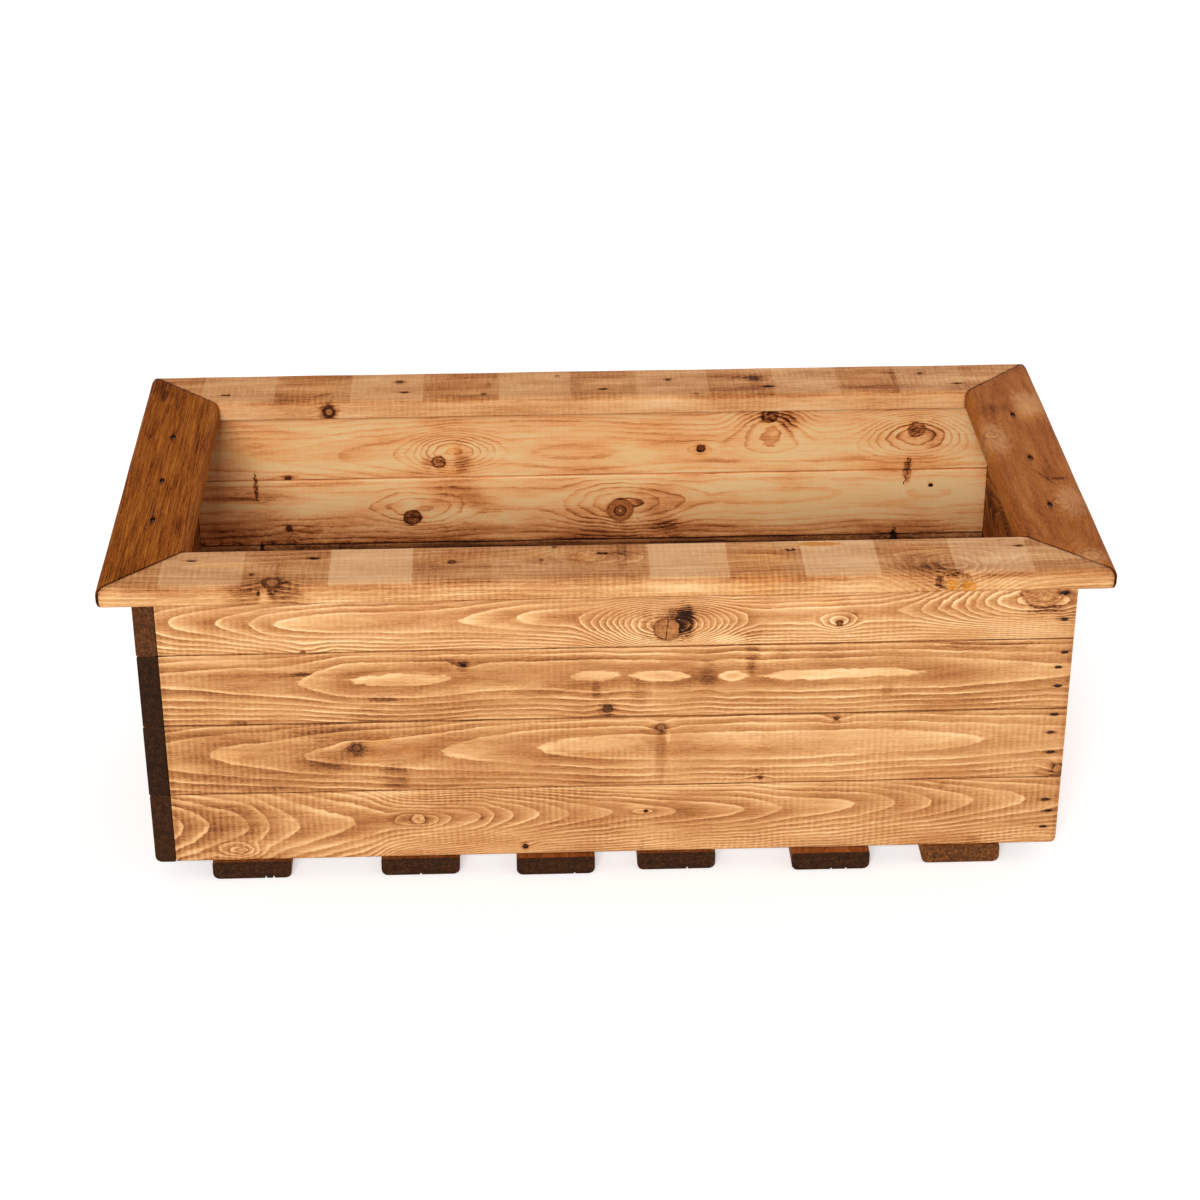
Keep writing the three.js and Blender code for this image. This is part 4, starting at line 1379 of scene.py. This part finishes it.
class PLANTER_OT_rim(Operator):
    """Makes the four mitred boards of the rim, with their worn edges and nail dents"""

    bl_idname = "planter.rim"
    bl_label = "Rim"

    def execute(self, context):
        for side in TURNS:
            along = X if side in ("front", "back") else Y
            board = Board(f"rim_{side}", along, Y if along == X else X)
            thickness = 2 * board.half_thickness
            places, row = RIM_NAILS[side]
            depth = context.scene.planter_sizes.dent_depth / MM
            dents = [(place, row, thickness, *NAIL_DENT, depth) for place in places]
            dents += RIM_CHIPS.get(side, [])
            out = -1 if side in ("front", "left") else 1
            mitre = CAD_BOX[1][along] / MM, -out
            figure = {**FIGURES[f"rim_{side}"], "mitre": mitre, "seen": 1, "torn": RIM_TORN}
            wood = Wood(f"rim_{side}", board, figure, tears(board, rim_nails(side)))
            rim_board(side, wood.build(), dents)
        return {"FINISHED"}


class PLANTER_OT_base(Operator):
    """Finishes the six slats under the box"""

    bl_idname = "planter.base"
    bl_label = "Base"

    def execute(self, context):
        first, step = SLAT_SEED
        for number in SLATS:
            name = f"base_slat_{number}"
            board = Board(name, Y, X)
            # The dark tint is partly the slats' own dark wood and partly painted shade for their
            # shadow.
            figure = plain_figure(first + step * number, board.half_length, wood="dark", line=0.1,
                                  loose=True, ends=END_SHADES.get(name, 1))
            nails = tears(board, slat_nails(number))
            repaint(name, Wood(name, board, figure, nails).build())
        return {"FINISHED"}


class PLANTER_OT_nails(Operator):
    """Finishes the nails and makes the oval heads of those that have only a dent"""

    bl_idname = "planter.nails"
    bl_label = "Nails"

    def execute(self, context):
        material = steel("nail_steel")
        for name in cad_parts:
            if "_nail_" in name:
                repaint(name, material)
        up, across = (0, 0, 1), {"right_end": (1, 0, 0), "back": (0, 1, 0), "left_end": (-1, 0, 0)}
        for wall, out in across.items():
            tops = np.vstack([corner_nails(wall, course) for course in COURSES])
            nail_heads(f"{wall}_nails", tops, out, np.cross(up, out), material)
        for side in ("front", "back"):
            nail_heads(f"rim_{side}_nails", rim_nails(side), up, (1, 0, 0), material)
        tops = np.vstack([slat_nails(number) for number in SLATS])
        nail_heads("slat_nails", tops, (0, 0, -1), (0, 1, 0), material)
        return {"FINISHED"}


class PLANTER_OT_fasteners(Operator):
    """Finishes the corrugated fasteners"""

    bl_idname = "planter.fasteners"
    bl_label = "Corrugated fasteners"

    def execute(self, context):
        material = steel("fastener_steel")
        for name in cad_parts:
            if "_corrugated_fastener_" in name:
                repaint(name, material)
        return {"FINISHED"}


# The stage, in metres: half the floor's width and how far it lies under the
# planter; each lamp's place and width, and the place they look at.
FLOOR_HALF, FLOOR_DROP = 40.0, 0.0002
FLOOR_GLOW = 0.42
KEY_PLACE, KEY_WIDTH = (-1.0, -5.3, 2.7), 1.8
BACK_PLACE, BACK_WIDTH = (1.0, 3.0, 0.8), 1.6
LAMP_TARGET = (0, 0, 0.2)
# The camera that fits the reference: its place in metres, how far it looks
# down, turns to the right and leans in degrees, and its lens and film in mm.
CAMERA_PLACE = (-0.078446, -2.200979, 1.361143)
CAMERA_PITCH, CAMERA_YAW, CAMERA_ROLL = 28.279, 2.0434, -0.1284
CAMERA_LENS, CAMERA_FILM = 80.96, 36


class PLANTER_OT_stage(Operator):
    """Sets up the floor, the world, the lamps and the camera"""

    bl_idname = "planter.stage"
    bl_label = "Stage"

    def execute(self, context):
        make_floor()
        make_world(context.scene)
        light = context.scene.planter_light
        make_lamp("key_lamp", KEY_PLACE, light.key, KEY_WIDTH)
        make_lamp("back_lamp", BACK_PLACE, light.back, BACK_WIDTH)
        make_camera(context.scene)
        context.scene.view_settings.view_transform = "Standard"
        return {"FINISHED"}


def seen_directly(finish):
    """1 for rays from the camera, in a mirror or through glass."""
    rays = [finish.node("ShaderNodeLightPath", output=f"Is {kind} Ray")
            for kind in ("Camera", "Glossy", "Transmission")]
    return rays[0].math("MAXIMUM", rays[0], rays[1].math("MAXIMUM", rays[1], rays[2]))


def make_floor():
    """A wide floor that shows white apart from the planter's shadow."""
    mesh = bpy.data.meshes.new("floor")
    corners = [(x * FLOOR_HALF, y * FLOOR_HALF, -FLOOR_DROP)
               for x, y in ((-1, -1), (1, -1), (1, 1), (-1, 1))]
    mesh.from_pydata(corners, [], [(0, 1, 2, 3)])
    floor = bpy.data.objects.new("floor", mesh)
    bpy.context.scene.collection.objects.link(floor)
    finish = Finish(bpy.data.materials.new("floor_paper"))
    colour = (*bpy.context.scene.planter_colours.floor, 1)
    shine = finish.mix(seen_directly(finish), (0, 0, 0, 1), (1, 1, 1, 1))
    mesh.materials.append(finish.surface(
        Base_Color=colour, Roughness=0.9, Emission_Color=shine, Emission_Strength=FLOOR_GLOW))


def make_world(scene):
    scene.world = bpy.data.worlds.new("studio")
    finish = Finish(scene.world)
    level = scene.planter_light.world
    dim = finish.node("ShaderNodeBackground", None, {"Color": (level, level, level, 1)})
    white = finish.node("ShaderNodeBackground", None, {"Color": (1, 1, 1, 1)})
    mixed = finish.node("ShaderNodeMixShader", None, [seen_directly(finish), dim, white])
    finish.node("ShaderNodeOutputWorld", None, [mixed])


def make_lamp(name, place, power, size):
    """A square lamp that looks at the middle of the planter."""
    lamp = bpy.data.lights.new(name, "AREA")
    lamp.energy = power
    lamp.size = size
    holder = bpy.data.objects.new(name, lamp)
    place, target = Vector(place), Vector(LAMP_TARGET)
    turn = (target - place).to_track_quat("-Z", "Y").to_matrix().to_4x4()
    holder.matrix_world = Matrix.Translation(place) @ turn
    bpy.context.scene.collection.objects.link(holder)


def make_camera(scene):
    """A camera at the place and angle that fit the reference view."""
    lens = bpy.data.cameras.new("camera")
    lens.lens, lens.sensor_width = CAMERA_LENS, CAMERA_FILM
    camera = bpy.data.objects.new("camera", lens)
    yaw = Matrix.Rotation(-radians(CAMERA_YAW), 4, "Z")
    pitch = Matrix.Rotation(pi / 2 - radians(CAMERA_PITCH), 4, "X")
    roll = Matrix.Rotation(radians(CAMERA_ROLL), 4, "Z")
    camera.matrix_world = Matrix.Translation(CAMERA_PLACE) @ yaw @ pitch @ roll
    scene.collection.objects.link(camera)
    scene.camera = camera


PIECES = (
    PLANTER_OT_long_walls, PLANTER_OT_end_walls, PLANTER_OT_rim, PLANTER_OT_base,
    PLANTER_OT_nails, PLANTER_OT_fasteners, PLANTER_OT_stage,
)


class PLANTER_PT_panel(Panel):
    """The planter's operators, sizes and colours"""

    bl_idname = "PLANTER_PT_panel"
    bl_label = "Planter"
    bl_space_type = "VIEW_3D"
    bl_region_type = "UI"
    bl_category = "Planter"

    def draw(self, context):
        for operator in PIECES:
            self.layout.operator(operator.bl_idname)
        scene = context.scene
        for group in (scene.planter_sizes, scene.planter_colours, scene.planter_light):
            box = self.layout.box()
            for name in group.__annotations__:
                box.prop(group, name)


GROUPS = {
    "planter_sizes": PlanterSizes, "planter_colours": PlanterColours, "planter_light": PlanterLight,
}


def register():
    for part in (*GROUPS.values(), *PIECES, PLANTER_PT_panel):
        bpy.utils.register_class(part)
    for name, group in GROUPS.items():
        setattr(bpy.types.Scene, name, PointerProperty(type=group))


def unregister():
    for name in GROUPS:
        delattr(bpy.types.Scene, name)
    for part in reversed((*GROUPS.values(), *PIECES, PLANTER_PT_panel)):
        bpy.utils.unregister_class(part)


def main():
    register()
    for operator in PIECES:
        group, name = operator.bl_idname.split(".")
        getattr(getattr(bpy.ops, group), name)()


if __name__ == "__main__":
    main()
